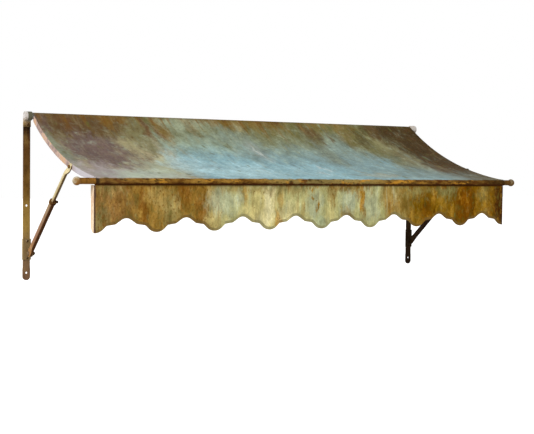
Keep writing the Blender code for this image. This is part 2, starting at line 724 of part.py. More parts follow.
def make_pivot(name, side, parts, cutters, look):
    outer = STRUT_X + TUBE_TONGUE_THICKNESS / 2 + GAP
    nut_inner = EAR_INNER - GAP - PIVOT_NUT_THICKNESS
    profile = rivet_profile(PIVOT_BOLT_HEAD, PIVOT_BOLT_CROWN, PIVOT_BOLT_SHANK,
                            outer - nut_inner + PIVOT_THREAD_SHOWS)
    start = in_room(side * outer, PIVOT)
    turned(name + "_pivot_bolt", profile, start, (side, 0, 0), SMALL_SIDES, look, parts)
    shape = bmesh.new()
    add_pin(shape, in_room(side * nut_inner, PIVOT), in_room(side * (EAR_INNER - GAP), PIVOT),
            PIVOT_NUT_WIDTH / cos(pi / 6), 6)
    nut = from_bmesh(name + "_pivot_nut", shape, look, parts)
    hole = across_awning(side, PIVOT, nut_inner - 0.002, EAR_INNER + 0.002, PIVOT_BOLT_SHANK + 2 * GAP)
    drill(nut, name + "_nut_hole", [hole], cutters)
    settle(nut)


def make_strut(name, side, parts, cutters, look, collar_look):
    _, head, _ = strut_line()
    bore = STRUT_ROD_DIAMETER + 2 * GAP
    tube = loft(name + "_strut_tube", tube_stations(), side, look, parts)
    pivot_hole = across_awning(side, PIVOT, STRUT_X - TUBE_TONGUE_THICKNESS, STRUT_X + TUBE_TONGUE_THICKNESS,
                               PIVOT_BOLT_SHANK + 2 * GAP)
    rod_hole = (in_strut(side, TUBE_LENGTH - TUBE_BORE_DEPTH), in_strut(side, TUBE_LENGTH + 0.01), bore)
    drill(tube, name + "_tube_holes", [pivot_hole, rod_hole], cutters)
    rod = loft(name + "_strut_rod", rod_stations(), side, look, parts)
    rivet_hole = across_awning(side, head, ROD_TONGUE_X - 0.008, ROD_TONGUE_X + 0.012,
                               STRUT_RIVET_SHANK + 2 * GAP)
    drill(rod, name + "_rod_hole", [rivet_hole], cutters)
    settle(tube)
    settle(rod)
    make_collar(name, side, bore, parts, cutters, collar_look)
    make_strut_rivet(name, side, head, parts, collar_look)


def make_collar(name, side, bore, parts, cutters, look):
    begin = TUBE_LENGTH + GAP
    wall = COLLAR_DIAMETER / 2
    profile = [(bore / 2, 0), (wall - COLLAR_CHAMFER, 0), (wall, COLLAR_CHAMFER),
               (wall, COLLAR_LENGTH - COLLAR_CHAMFER), (wall - COLLAR_CHAMFER, COLLAR_LENGTH),
               (bore / 2, COLLAR_LENGTH), (bore / 2, 0)]
    collar = turned(name + "_collar", profile, in_strut(side, begin), in_strut(side, 1) - in_strut(side, 0),
                    ROD_SIDES, look, parts)
    middle = begin + COLLAR_LENGTH / 2
    screw_hole = (in_strut(side, middle), in_strut(side, middle, wall + 0.004), SET_SCREW_SHANK + 2 * GAP)
    drill(collar, name + "_collar_hole", [screw_hole], cutters)
    settle(collar)
    seat = wall + GAP
    tip = seat - bore / 2 - GAP
    shank = SET_SCREW_SHANK / 2
    head = SET_SCREW_HEAD / 2
    edge = SET_SCREW_HEAD * 0.13
    profile = [(0, -tip), (shank, -tip), (shank, 0), (head, 0), (head, SET_SCREW_HEAD_LENGTH - edge),
               (head - edge, SET_SCREW_HEAD_LENGTH), (0, SET_SCREW_HEAD_LENGTH)]
    turned(name + "_set_screw", profile, in_strut(side, middle, seat), (-side, 0, 0), SMALL_SIDES, look, parts)


def make_strut_rivet(name, side, head, parts, look):
    face = ROD_TONGUE_X + ROD_TONGUE_THICKNESS / 2 + GAP
    length = face - (HALF_WIDTH - SHEET_THICKNESS - GAP)
    tail = [(radius, -length - along) for radius, along in reversed(crown(STRUT_RIVET_TAIL, STRUT_RIVET_TAIL_CROWN))]
    shank = STRUT_RIVET_SHANK / 2
    profile = tail + [(shank, -length), (shank, 0)] + crown(STRUT_RIVET_HEAD, STRUT_RIVET_CROWN)
    turned(name + "_strut_rivet", profile, in_room(side * face, head), (side, 0, 0), SMALL_SIDES, look, parts)


def build():
    for thing in list(bpy.data.objects):
        bpy.data.objects.remove(thing, do_unlink=True)
    parts = collection("metal_awning")
    cutters = collection("cutters")
    make_sheets(parts, cutters)
    make_rods(parts)
    strap_look = material("strap_iron", (0.22, 0.13, 0.05), 0.55, 0.4)
    rivet_look = material("rivet_iron", (0.30, 0.22, 0.12), 0.45, 0.5)
    foot_look = material("foot_iron", (0.22, 0.17, 0.09), 0.5, 0.45)
    strut_look = material("strut_iron", (0.32, 0.20, 0.11), 0.45, 0.45)
    collar_look = material("collar_iron", (0.17, 0.10, 0.04), 0.45, 0.5)
    for name, side in (("left", -1), ("right", 1)):
        make_strap(name, side, parts, cutters, strap_look, rivet_look)
        make_foot(name, side, parts, cutters, foot_look, rivet_look)
        make_strut(name, side, parts, cutters, strut_look, collar_look)


build()
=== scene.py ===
"""Looks of the metal awning: weathered paint on its sheets, rust on its frame, soft light and the camera.

Metres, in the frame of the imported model: X along the awning, the wall at Y = 0, the front at -Y, +Z up.
"""
from math import cos, pi, radians, sin

import bmesh
import bpy
from mathutils import Matrix, Vector, noise


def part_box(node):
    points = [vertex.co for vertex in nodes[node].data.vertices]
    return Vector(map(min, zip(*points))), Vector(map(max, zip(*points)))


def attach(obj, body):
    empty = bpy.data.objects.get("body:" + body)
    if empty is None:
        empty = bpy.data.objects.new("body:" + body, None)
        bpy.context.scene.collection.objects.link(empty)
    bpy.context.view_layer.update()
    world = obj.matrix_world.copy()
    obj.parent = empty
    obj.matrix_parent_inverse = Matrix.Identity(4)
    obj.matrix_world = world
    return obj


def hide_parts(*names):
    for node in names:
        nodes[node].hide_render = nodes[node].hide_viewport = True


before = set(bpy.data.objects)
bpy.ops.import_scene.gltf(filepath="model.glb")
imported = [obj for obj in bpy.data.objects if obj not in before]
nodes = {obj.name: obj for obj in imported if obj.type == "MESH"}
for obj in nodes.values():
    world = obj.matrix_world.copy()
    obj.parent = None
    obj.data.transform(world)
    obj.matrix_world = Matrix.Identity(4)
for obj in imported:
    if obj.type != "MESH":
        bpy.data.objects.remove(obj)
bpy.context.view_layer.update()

# The photograph's view
IMAGE_WIDTH = 534
FOCAL_PIXELS = 1128.84
SENSOR_WIDTH = 36.0
CAMERA_PLACE = Vector((-2.1096, -3.6264, 0.3857))
CAMERA_YAW = radians(31.73)
CAMERA_PITCH = radians(-2.50)
CAMERA_ROLL = radians(0.69)

# Stage and light: the floor lies well below, because the awning hangs on a wall
FLOOR_DROP = 1.6
FLOOR_SIZE = 120.0
FLOOR_GREY = 0.72
FLOOR_LIFT = 0.62
WORLD_LEVEL = 0.40

# Lamps: the way their light goes, level, spread in degrees and tint
LAMPS = {
    "key": ((0.80, 0.42, -0.43), 0.95, 28, (1.0, 0.97, 0.93)),
    "front": ((-0.25, 0.93, -0.30), 0.22, 40, (1.0, 0.99, 0.97)),
    "back": ((-0.45, -0.75, -0.48), 0.20, 50, (0.95, 0.97, 1.0)),
}

# Finish of the edges: how they are rounded, which count as sharp or flat, and which points are one
BEVEL = 0.0005
BEVEL_SEGMENTS = 2
SHARP_ANGLE = radians(32)
FLAT_ANGLE = radians(0.2)
WELD = 0.00001

# Finish of the surfaces: height and share of their relief, their sheen, and the sheets' roughness
RELIEF = 0.0006
RELIEF_SHARE = 0.5
SHEEN = 0.03
CANOPY_ROUGHNESS = 0.62
TRIM_ROUGHNESS = 0.60

# How blots of colour are drawn: solid up to this share of their radii, and torn this strongly
BLOT_CORE = 0.30
BLOT_TEARS = 1.7

# How much richer a colour gets where it is darkened, and the level of a noise at which pits are full
DARK_IS_RICHER = 0.08
PIT_FULL = 0.72

# Places on the long sheet: its front, half its width, and the outer skin of its flanges
FRONT = -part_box("canopy_sheet")[0].y
HALF_WIDTH = 0.800
FLANGE_SKIN = 0.0022

# The bead, which is the long sheet's rolled front edge: where it starts and how softly and raggedly, the
# height up to which it rusts, and the dark line at its foot, a painted shadow under the roll
BEAD_BACK = 0.0215 - FRONT
BEAD_BLEND = 0.004
BEAD_RAGGED = 0.006
BEAD_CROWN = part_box("canopy_sheet")[0].z + 0.0203
CROWN_BLEND = 0.0015
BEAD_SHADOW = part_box("canopy_sheet")[0].z + 0.0025
BEAD_SHADOW_FALL = 0.0055

# Stretches from the front to the wall, each from where a change starts to where it is full: paint gone
# sage and olive, grime by the wall, and flanges gone lilac at the front
TURNS_SAGE = (-0.34, -0.13)
TURNS_OLIVE = (-0.19, -0.04)
GRIMY_BY_WALL = (-0.035, -0.012)
LILAC_FRONT = (-0.34, -0.42)

# Stretches across the long sheet: its dull ends, where its mottling gets lively, where it flakes, and
# where less rust has run
DULL_LEFT = (-0.40, -0.54)
DULL_RIGHT = (0.52, 0.66)
LIVELY = (-0.55, -0.35)
FLAKY = (-0.60, -0.42)
DRY_RIGHT = (0.40, 0.60)

# Stretches of the bead: moss, measured both ways from its own middle, and the dark parts
BEAD_MOSS_MIDDLE = 0.02
BEAD_MOSS = (0.30, 0.14)
BEAD_DUSK = (0.10, 0.70)
BEAD_DARK_RIGHT = (0.66, 0.78)
BEAD_DARK_LEFT = (-0.60, -0.76)
BEAD_DARK_TIP = (-0.788, -0.796)

# Rust runs down the long sheet from the wall, and fades faster with a greater fall
RUN_FALL = 1.5

# Places on the trim: its front face, the middle of its thickness, where its ends are folded back and how
# softly that starts, the room that they take, the top of the scallops, and the shade under the bead
TRIM_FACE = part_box("valance_sheet")[0].y
TRIM_MIDDLE = TRIM_FACE + 0.0006
TRIM_FOLD = TRIM_FACE + 0.0012
FOLD_BLEND = 0.001
FOLD_REACH = 0.003
RETURN_ROOM = 0.004
SCALLOP_TOP = 0.234
UNDER_BEAD = (0.3235, 0.3310)

# Stretches across the trim: its rusty thirds, and where it is richer and how much
LEFT_THIRD = (-0.36, -0.45)
RIGHT_THIRD = (0.27, 0.40)
RICHER = (0.20, 0.40)
RICHNESS = 1.045

# Rust runs down the trim from this height, and fades faster with a greater fall
DRIP_TOP = 0.338
DRIP_FALL = 6.0

# Dark dots on the long sheet, one to a cell: cells to the metre, how much their length down the slope
# counts, the largest dot's radius in cells, and how far the radii differ, so that some cells have none
DOT_CELLS = 13
DOT_STRETCH = 0.45
DOT_RADIUS = 0.135
DOT_SPREAD = 0.20

# Waves of the old sheets: their height and direction, and for each sort its waves to the metre, its place
# in the noise and its share
CANOPY_WAVE = 0.0030
CANOPY_RISE = Vector((0, -0.35, 0.94))
CANOPY_WAVES = ((3.4, 0.6, 1.0), (9.0, 8.3, 0.45))
TRIM_WAVE = 0.0030
TRIM_WAVES = ((5.0, 1.7, 1.0), (13.0, 4.1, 0.5))

# The cells that the sheets are cut in, so that they can bend, and what holds them still: a sheet is still
# up to the first distance from it, and free from the second
CANOPY_CELL = 0.020
ROLL_HOLD = (0.03, 0.09)
FLANGE_HOLD = (0.006, 0.08)
TRIM_CELL = 0.012
TRIM_CUT_TOP = 0.334
TRIM_HELD_HEIGHT = 0.325
TRIM_TOP_HOLD = (0.0, 0.05)
TRIM_FOLD_HOLD = (RETURN_ROOM, 0.05)

# The rim of the scallops, on the trim's two flat faces, which are larger than this area: its width, the
# width of its inner slope, how proud it stands, the share by which its darkening is less where it faces
# right, and the share of the darkening that is left on the very edge
FLAT_AREA = 0.05
RIM_WIDTH = 0.0080
RIM_FALL = 0.0025
RIM_PROUD = 0.0007
RIM_FADES_RIGHT = 0.85
RIM_EDGE = 0.45

# Noises: scale to the metre, detail, roughness, stretch and shift
NOISE = {
    "canopy_mottle": (34, 6, 0.66, (1, 0.75, 0.75)),
    "canopy_streaks": (62, 5, 0.66, (1, 0.16, 0.16), (1, 0, 4)),
    "canopy_runs": (34, 5, 0.66, (1, 0.05, 0.05), (2, 6, 1)),
    "canopy_clouds": (15, 8, 0.74, (1, 0.65, 0.65), (6, 1, 2)),
    "canopy_grit": (120, 4, 0.70, (1, 0.70, 0.70), (8, 2, 2)),
    "canopy_flakes": (210, 3, 0.60),
    "canopy_pits": (150, 3, 0.65, (1, 0.60, 0.60), (9, 0, 0)),
    "bead_clouds": (30, 6, 0.72, (0.45, 1, 1), (2, 2, 2)),
    "bead_black": (120, 4, 0.68, (0.35, 1, 1), (5, 3, 1)),
    "bead_rust": (48, 4, 0.65, (0.40, 1, 1), (1, 7, 4)),
    "bead_gold": (75, 4, 0.65, (0.30, 1, 1), (7, 3, 1)),
    "flange": (38, 5, 0.62, (1, 1, 1), (4, 4, 4)),
    "trim_mottle": (75, 6, 0.68, (1, 1, 0.60)),
    "trim_streaks": (120, 5, 0.62, (1, 1, 0.07), (1, 0, 4)),
    "trim_hue": (55, 5, 0.64, (1, 1, 0.55), (4, 4, 1)),
    "trim_clouds": (38, 8, 0.70, (1, 1, 0.45), (6, 1, 2)),
    "trim_runs": (46, 5, 0.65, (1, 1, 0.03), (3, 1, 1)),
    "trim_grit": (230, 4, 0.70, (1, 1, 0.70), (8, 2, 2)),
    "trim_pits": (190, 3, 0.65, (1, 1, 0.50), (9, 0, 0)),
    "blooms": (90, 5, 0.66, (1, 1, 1), (1, 6, 3)),
    "sheet_relief": (420, 3, 0.60),
    "iron_clouds": (45, 5, 0.62, (1, 1, 0.50)),
    "iron_specks": (170, 3, 0.60),
    "iron_relief": (380, 3, 0.60),
    "strap_bands": (60, 4),
}

# Colours of the long sheet's paint and rust, as they look in plain light
PAINT = {
    "verdigris": "7fa4ad",
    "ice": "a4c4ca",
    "sage": "869683",
    "pale_green": "a6b49c",
    "cream": "bdb98c",
    "tan": "94896a",
    "olive": "646036",
    "moss": "5a5a30",
    "ochre": "74541c",
    "brown": "574226",
    "rust": "5e3a20",
    "umber": "3c2c12",
    "bark": "50462a",
    "mauve": "62504a",
    "lilac": "9b9190",
    "chalk": "c2c6c0",
    "slate": "6c7d79",
    "lichen": "788270",
    "fog": "a5aea0",
    "dark_band": "4a3c18",
}

# Stains of the long sheet: colour, middle (x, y), radii and strength
CANOPY_STAINS = (
    # the left third, from the wall down
    ("tan", (-0.50, -0.30), (0.16, 0.36), 0.80),
    ("olive", (-0.50, -0.12), (0.16, 0.20), 0.70),
    ("olive", (-0.80, -0.16), (0.11, 0.30), 0.60),
    ("tan", (-0.52, -0.45), (0.14, 0.16), 0.55),
    ("mauve", (-0.665, -0.24), (0.19, 0.30), 1.0),
    ("lichen", (-0.81, -0.27), (0.060, 0.32), 0.65),
    ("lilac", (-0.74, -0.49), (0.17, 0.20), 0.95),
    ("fog", (-0.60, -0.52), (0.19, 0.15), 0.90),
    ("pale_green", (-0.66, -0.50), (0.05, 0.10), 0.50),
    ("brown", (-0.66, -0.05), (0.28, 0.12), 0.95),
    ("cream", (-0.465, -0.31), (0.050, 0.07), 0.50),
    ("pale_green", (-0.53, -0.40), (0.10, 0.13), 0.50),
    ("cream", (-0.53, -0.19), (0.05, 0.08), 0.25),
    ("mauve", (-0.79, -0.04), (0.05, 0.08), 0.60),
    ("rust", (-0.70, -0.05), (0.05, 0.06), 0.45),
    ("ochre", (-0.53, -0.02), (0.09, 0.05), 0.60),
    ("rust", (-0.42, -0.08), (0.024, 0.12), 0.70),
    ("ochre", (-0.36, -0.07), (0.035, 0.12), 0.65),
    ("rust", (-0.385, -0.11), (0.020, 0.045), 0.60),
    # the middle
    ("ice", (-0.40, -0.40), (0.12, 0.18), 0.65),
    ("ice", (-0.22, -0.46), (0.20, 0.16), 0.70),
    ("ice", (0.05, -0.44), (0.14, 0.13), 0.35),
    ("ochre", (-0.12, -0.03), (0.14, 0.06), 0.65),
    ("ochre", (0.06, -0.03), (0.15, 0.09), 0.75),
    ("pale_green", (-0.24, -0.05), (0.16, 0.07), 0.45),
    ("ochre", (-0.22, -0.09), (0.03, 0.06), 0.40),
    ("rust", (0.15, -0.02), (0.045, 0.04), 0.70),
    ("moss", (-0.157, -0.165), (0.014, 0.034), 0.70),
    ("olive", (0.07, -0.13), (0.16, 0.13), 0.60),
    ("cream", (-0.03, -0.050), (0.032, 0.05), 0.30),
    ("lilac", (-0.05, -0.22), (0.045, 0.12), 0.30),
    ("slate", (-0.07, -0.17), (0.13, 0.14), 0.40),
    ("slate", (0.00, -0.27), (0.20, 0.12), 0.45),
    ("chalk", (-0.045, -0.225), (0.009, 0.060), 0.45),
    ("chalk", (0.130, -0.38), (0.010, 0.050), 0.45),
    ("chalk", (0.095, -0.45), (0.010, 0.040), 0.40),
    ("slate", (0.34, -0.30), (0.30, 0.26), 0.60),
    # the right third
    ("brown", (0.27, -0.08), (0.06, 0.13), 0.80),
    ("olive", (0.25, -0.24), (0.065, 0.15), 0.65),
    ("olive", (0.24, -0.15), (0.09, 0.10), 0.40),
    ("slate", (0.26, -0.24), (0.15, 0.12), 0.50),
    ("brown", (0.35, -0.12), (0.018, 0.045), 0.70),
    ("ochre", (0.46, -0.07), (0.08, 0.15), 0.60),
    ("olive", (0.52, -0.15), (0.16, 0.18), 0.85),
    ("cream", (0.545, -0.14), (0.05, 0.08), 0.18),
    ("umber", (0.50, -0.12), (0.05, 0.08), 0.50),
    ("olive", (0.56, -0.28), (0.10, 0.20), 0.75),
    ("slate", (0.56, -0.48), (0.34, 0.17), 0.75),
    ("tan", (0.30, -0.50), (0.12, 0.06), 0.45),
    ("tan", (0.59, -0.22), (0.06, 0.18), 0.28),
    ("umber", (0.80, -0.20), (0.28, 0.46), 1.0),
    ("bark", (0.80, -0.54), (0.18, 0.16), 0.70),
    ("umber", (0.65, -0.04), (0.13, 0.12), 0.80),
    ("pale_green", (0.60, -0.36), (0.030, 0.15), 0.30),
    ("brown", (0.66, -0.37), (0.07, 0.10), 0.60),
    ("brown", (0.59, -0.06), (0.05, 0.08), 0.50),
)

# Colours of the trim
TRIM = {
    "gold": "8b6b2b",
    "honey": "9c7a30",
    "straw": "bcae70",
    "cream": "d4cc9e",
    "sage": "a3a16c",
    "ice": "a2ad96",
    "moss": "7e7d50",
    "ochre": "76571a",
    "orange": "c2943e",
    "tawny": "99701e",
    "rust": "74480f",
    "chestnut": "5e3603",
    "umber": "3c2006",
    "rose": "7a5c36",
    "dark_band": "7a7450",
    "bruise": "45302c",
    "fog": "9aa37e",
    "lichen": "66602e",
    "shade": "4e3412",
    "scale": "604418",
}

# Stains of the trim: colour, middle (x, z), radii and strength
TRIM_STAINS = (
    # the left third
    ("rose", (-0.76, 0.27), (0.12, 0.13), 0.65),
    ("straw", (-0.76, 0.322), (0.07, 0.030), 0.30),
    ("moss", (-0.79, 0.22), (0.04, 0.06), 0.50),
    ("rust", (-0.775, 0.215), (0.012, 0.030), 0.60),
    ("rust", (-0.73, 0.28), (0.035, 0.12), 0.25),
    ("straw", (-0.717, 0.318), (0.006, 0.014), 0.60),
    ("rust", (-0.648, 0.25), (0.020, 0.12), 0.80),
    ("straw", (-0.60, 0.30), (0.06, 0.05), 0.25),
    ("moss", (-0.555, 0.24), (0.045, 0.08), 0.45),
    ("rust", (-0.51, 0.30), (0.035, 0.07), 0.60),
    ("rust", (-0.455, 0.26), (0.030, 0.08), 0.60),
    ("straw", (-0.535, 0.27), (0.020, 0.04), 0.35),
    # the middle
    ("ice", (-0.375, 0.275), (0.07, 0.07), 0.50),
    ("straw", (-0.40, 0.215), (0.06, 0.05), 0.55),
    ("ice", (-0.315, 0.285), (0.022, 0.04), 0.60),
    ("gold", (-0.35, 0.322), (0.07, 0.025), 0.35),
    ("straw", (-0.22, 0.25), (0.13, 0.12), 0.75),
    ("cream", (-0.203, 0.275), (0.028, 0.085), 0.75),
    ("cream", (-0.225, 0.22), (0.04, 0.05), 0.40),
    ("orange", (-0.170, 0.225), (0.018, 0.045), 0.85),
    ("honey", (-0.158, 0.275), (0.012, 0.060), 0.55),
    ("ochre", (-0.27, 0.320), (0.12, 0.030), 0.45),
    ("ochre", (-0.12, 0.322), (0.12, 0.030), 0.40),
    ("tawny", (-0.293, 0.30), (0.012, 0.05), 0.50),
    ("straw", (-0.10, 0.22), (0.07, 0.06), 0.40),
    ("cream", (-0.14, 0.235), (0.05, 0.06), 0.35),
    ("ice", (-0.025, 0.27), (0.045, 0.07), 0.45),
    ("gold", (-0.075, 0.25), (0.018, 0.07), 0.35),
    ("tawny", (-0.042, 0.316), (0.007, 0.010), 0.85),
    ("tawny", (-0.014, 0.317), (0.007, 0.010), 0.85),
    ("tawny", (-0.032, 0.295), (0.007, 0.010), 0.85),
    ("tawny", (-0.014, 0.270), (0.009, 0.024), 0.90),
    ("fog", (0.00, 0.205), (0.05, 0.045), 0.85),
    ("straw", (0.035, 0.225), (0.03, 0.04), 0.50),
    ("ochre", (0.040, 0.300), (0.022, 0.065), 0.65),
    ("moss", (0.078, 0.252), (0.030, 0.030), 0.65),
    ("ochre", (0.105, 0.232), (0.045, 0.030), 0.65),
    ("ochre", (0.10, 0.326), (0.14, 0.024), 0.70),
    ("ice", (0.11, 0.275), (0.055, 0.06), 0.60),
    ("gold", (0.14, 0.322), (0.06, 0.030), 0.50),
    ("ochre", (0.146, 0.310), (0.012, 0.050), 0.65),
    ("tawny", (0.168, 0.290), (0.015, 0.085), 0.95),
    ("ice", (0.205, 0.27), (0.045, 0.09), 0.45),
    ("ochre", (0.250, 0.30), (0.016, 0.06), 0.45),
    ("gold", (0.285, 0.27), (0.040, 0.14), 0.80),
    ("cream", (0.302, 0.300), (0.010, 0.035), 0.30),
    ("cream", (0.312, 0.262), (0.010, 0.030), 0.20),
    ("rust", (0.288, 0.250), (0.008, 0.035), 0.60),
    # the right third
    ("ochre", (0.335, 0.27), (0.045, 0.08), 0.75),
    ("gold", (0.41, 0.21), (0.07, 0.05), 0.75),
    ("moss", (0.40, 0.31), (0.07, 0.045), 0.65),
    ("chestnut", (0.45, 0.24), (0.045, 0.07), 0.70),
    ("moss", (0.53, 0.315), (0.09, 0.040), 0.75),
    ("honey", (0.51, 0.27), (0.04, 0.05), 0.40),
    ("chestnut", (0.63, 0.27), (0.075, 0.15), 0.95),
    ("rust", (0.625, 0.27), (0.03, 0.11), 0.50),
    ("gold", (0.705, 0.29), (0.04, 0.07), 0.50),
    ("moss", (0.715, 0.305), (0.045, 0.05), 0.50),
    ("moss", (0.725, 0.232), (0.030, 0.028), 0.50),
    ("ochre", (0.745, 0.26), (0.05, 0.12), 0.60),
    ("chestnut", (0.755, 0.21), (0.05, 0.07), 0.50),
    ("umber", (0.800, 0.25), (0.062, 0.22), 1.0),
)

# Colours that count as rust: rough, pitted and without paint
RUSTY = ("ochre", "rust", "umber", "brown", "chestnut", "orange", "tawny")

# Colours of the bead
BEAD = {
    "brown": "5a3a12",
    "ochre": "947030",
    "straw": "a88844",
    "moss": "80784a",
    "black": "2c1a0a",
    "rust": "5c2e08",
    "dusk": "3c260c",
    # gold: rust flecks, partly painted glints of light
    "gold": "b4802a",
    "char": "261404",
    "shade": "4a3020",
    "tip": "241a12",
    # line: a painted shadow along the bead's foot
    "line": "3e1e08",
}

# Colours of the flanges and of the trim's folded ends
FOLDS = {
    "dusty": "93807a",
    "blush": "bca294",
    "apricot": "c49c70",
    "lilac": "b6b2b8",
    # dark: painted shade on the right flange
    "dark": "4a3c22",
    "sand": "d0b094",
    "bone": "e6d2b4",
}

# Colours of the sheets' undersides and backs, out of the weather
BEHIND = {
    "moss": "666450",
    "grey": "8d8c78",
    "brown": "6a5030",
    "rust": "56361a",
    "bloom": "7c4e22",
}

# Colours of the straps and the struts from their foot up: height and colour
STRAP_BANDS = (
    (0.000, "705440"),
    (0.110, "826848"),
    (0.180, "a28444"),
    (0.300, "765626"),
    (0.470, "56381c"),
    # the near black at the neck is a painted shadow under the eye's tail
    (0.508, "20130a"),
    (0.524, "8a724c"),
    # the pale grey of the eye is a painted highlight
    (0.548, "c4c0bc"),
)
STRUT_BANDS = (
    (0.080, "a87c46"),
    (0.150, "94705a"),
    (0.262, "9a8468"),
    (0.285, "b8a87c"),
    (0.372, "ccbe94"),
)

# Their other colours: clouds, specks, the eye's inner side, painted darker as shade, and the painted
# shade on the side of tubes and rods away from the light
STRAP = {
    "light": "b09050",
    "dark": "2c1a0a",
    "speck": "7a4a18",
    "inside": "5c5a4a",
}
STRUT = {
    "light": "ece2bc",
    "dark": "70482a",
    "speck": "8a5a2c",
    "tube_shade": "4a2c14",
    "rod_shade": "6a5434",
}

# Colours of the other iron pieces: body, lighter and darker clouds, specks, and, where it is given, the
# painted shade on the side away from the light
IRON = {
    "rod_iron": ("7a5420", "a87432", "432a10", "8e6a34"),
    # the rod ends' pale grey, like the eyes', is a painted highlight
    "rod_end_iron": ("c8c4c2", "dcd8d6", "7c7e78", "8a6a48"),
    "finial_iron": ("b8ae98", "e6e4da", "8a6e44", "7a4e24", "8a6030"),
    "rivet_iron": ("6a5640", "a89878", "3c2812", "7a5020", "4a3218"),
    "foot_iron": ("988254", "b09a68", "6c5844", "86602c", "7c6644"),
    "collar_iron": ("6a4c26", "8a7850", "40260e", "8a5a20", "3a200a"),
}

# The frame is painted dark at the right, as shade under the canopy: where this painted shade starts and
# is full, its colour and its share. Some pieces turn to a colour of their own there instead.
RIGHT_IN_SHADE = (0.0, 0.4)
SHADE_COLOUR = "1a0d04"
SHADE_SHARE = 0.93
IRON_AT_RIGHT = {
    "rod_iron": ("3c280e", 0.75),
    "rod_end_iron": ("bcb8b0", 0.80),
    "finial_iron": ("54401e", 0.85),
}

# Places on the frame: the neck below which a strap carries its full painted shade at the right, the foot
# of its eye, the left eye's inner side, which is painted darker as its shaded side, the left half, and
# the upper end of the tubes
NECK = (0.525, 0.505)
EYE_FOOT = (0.528, 0.536)
EYE_INSIDE = (-0.8175, -0.8155)
LEFT_HALF = (0.1, 0.0)
TUBE_END = (0.26, 0.30)


def colour(code):
    """A colour written as six hexadecimal digits, made linear for a shader."""
    parts = [int(code[k:k + 2], 16) / 255 for k in (0, 2, 4)]
    return (*[p / 12.92 if p <= 0.04045 else ((p + 0.055) / 1.055) ** 2.4 for p in parts], 1.0)


def placed(name, data):
    """A new object in the scene."""
    made = bpy.data.objects.new(name, data)
    bpy.context.scene.collection.objects.link(made)
    return made


def camera():
    """The camera stands where the photograph was taken from."""
    level = Vector((sin(CAMERA_YAW), cos(CAMERA_YAW), 0))
    side = Vector((cos(CAMERA_YAW), -sin(CAMERA_YAW), 0))
    up = Vector((0, 0, 1))
    ahead = level * cos(CAMERA_PITCH) + up * sin(CAMERA_PITCH)
    above = up * cos(CAMERA_PITCH) - level * sin(CAMERA_PITCH)
    right = side * cos(CAMERA_ROLL) + above * sin(CAMERA_ROLL)
    top = above * cos(CAMERA_ROLL) - side * sin(CAMERA_ROLL)
    data = bpy.data.cameras.new("camera")
    data.sensor_width = SENSOR_WIDTH
    data.lens = SENSOR_WIDTH * FOCAL_PIXELS / IMAGE_WIDTH
    made = placed("camera", data)
    turned = Matrix((right, top, -ahead)).transposed().to_4x4()
    made.matrix_world = Matrix.Translation(CAMERA_PLACE) @ turned
    bpy.context.scene.camera = made


def sun(name, towards, level, spread, tint):
    """A soft lamp, far away. Its level is what it adds to a white surface that faces it."""
    data = bpy.data.lights.new(name, "SUN")
    data.energy = level * pi
    data.angle = radians(spread)
    data.color = tint
    placed(name, data).rotation_euler = Vector(towards).to_track_quat("-Z", "Y").to_euler()


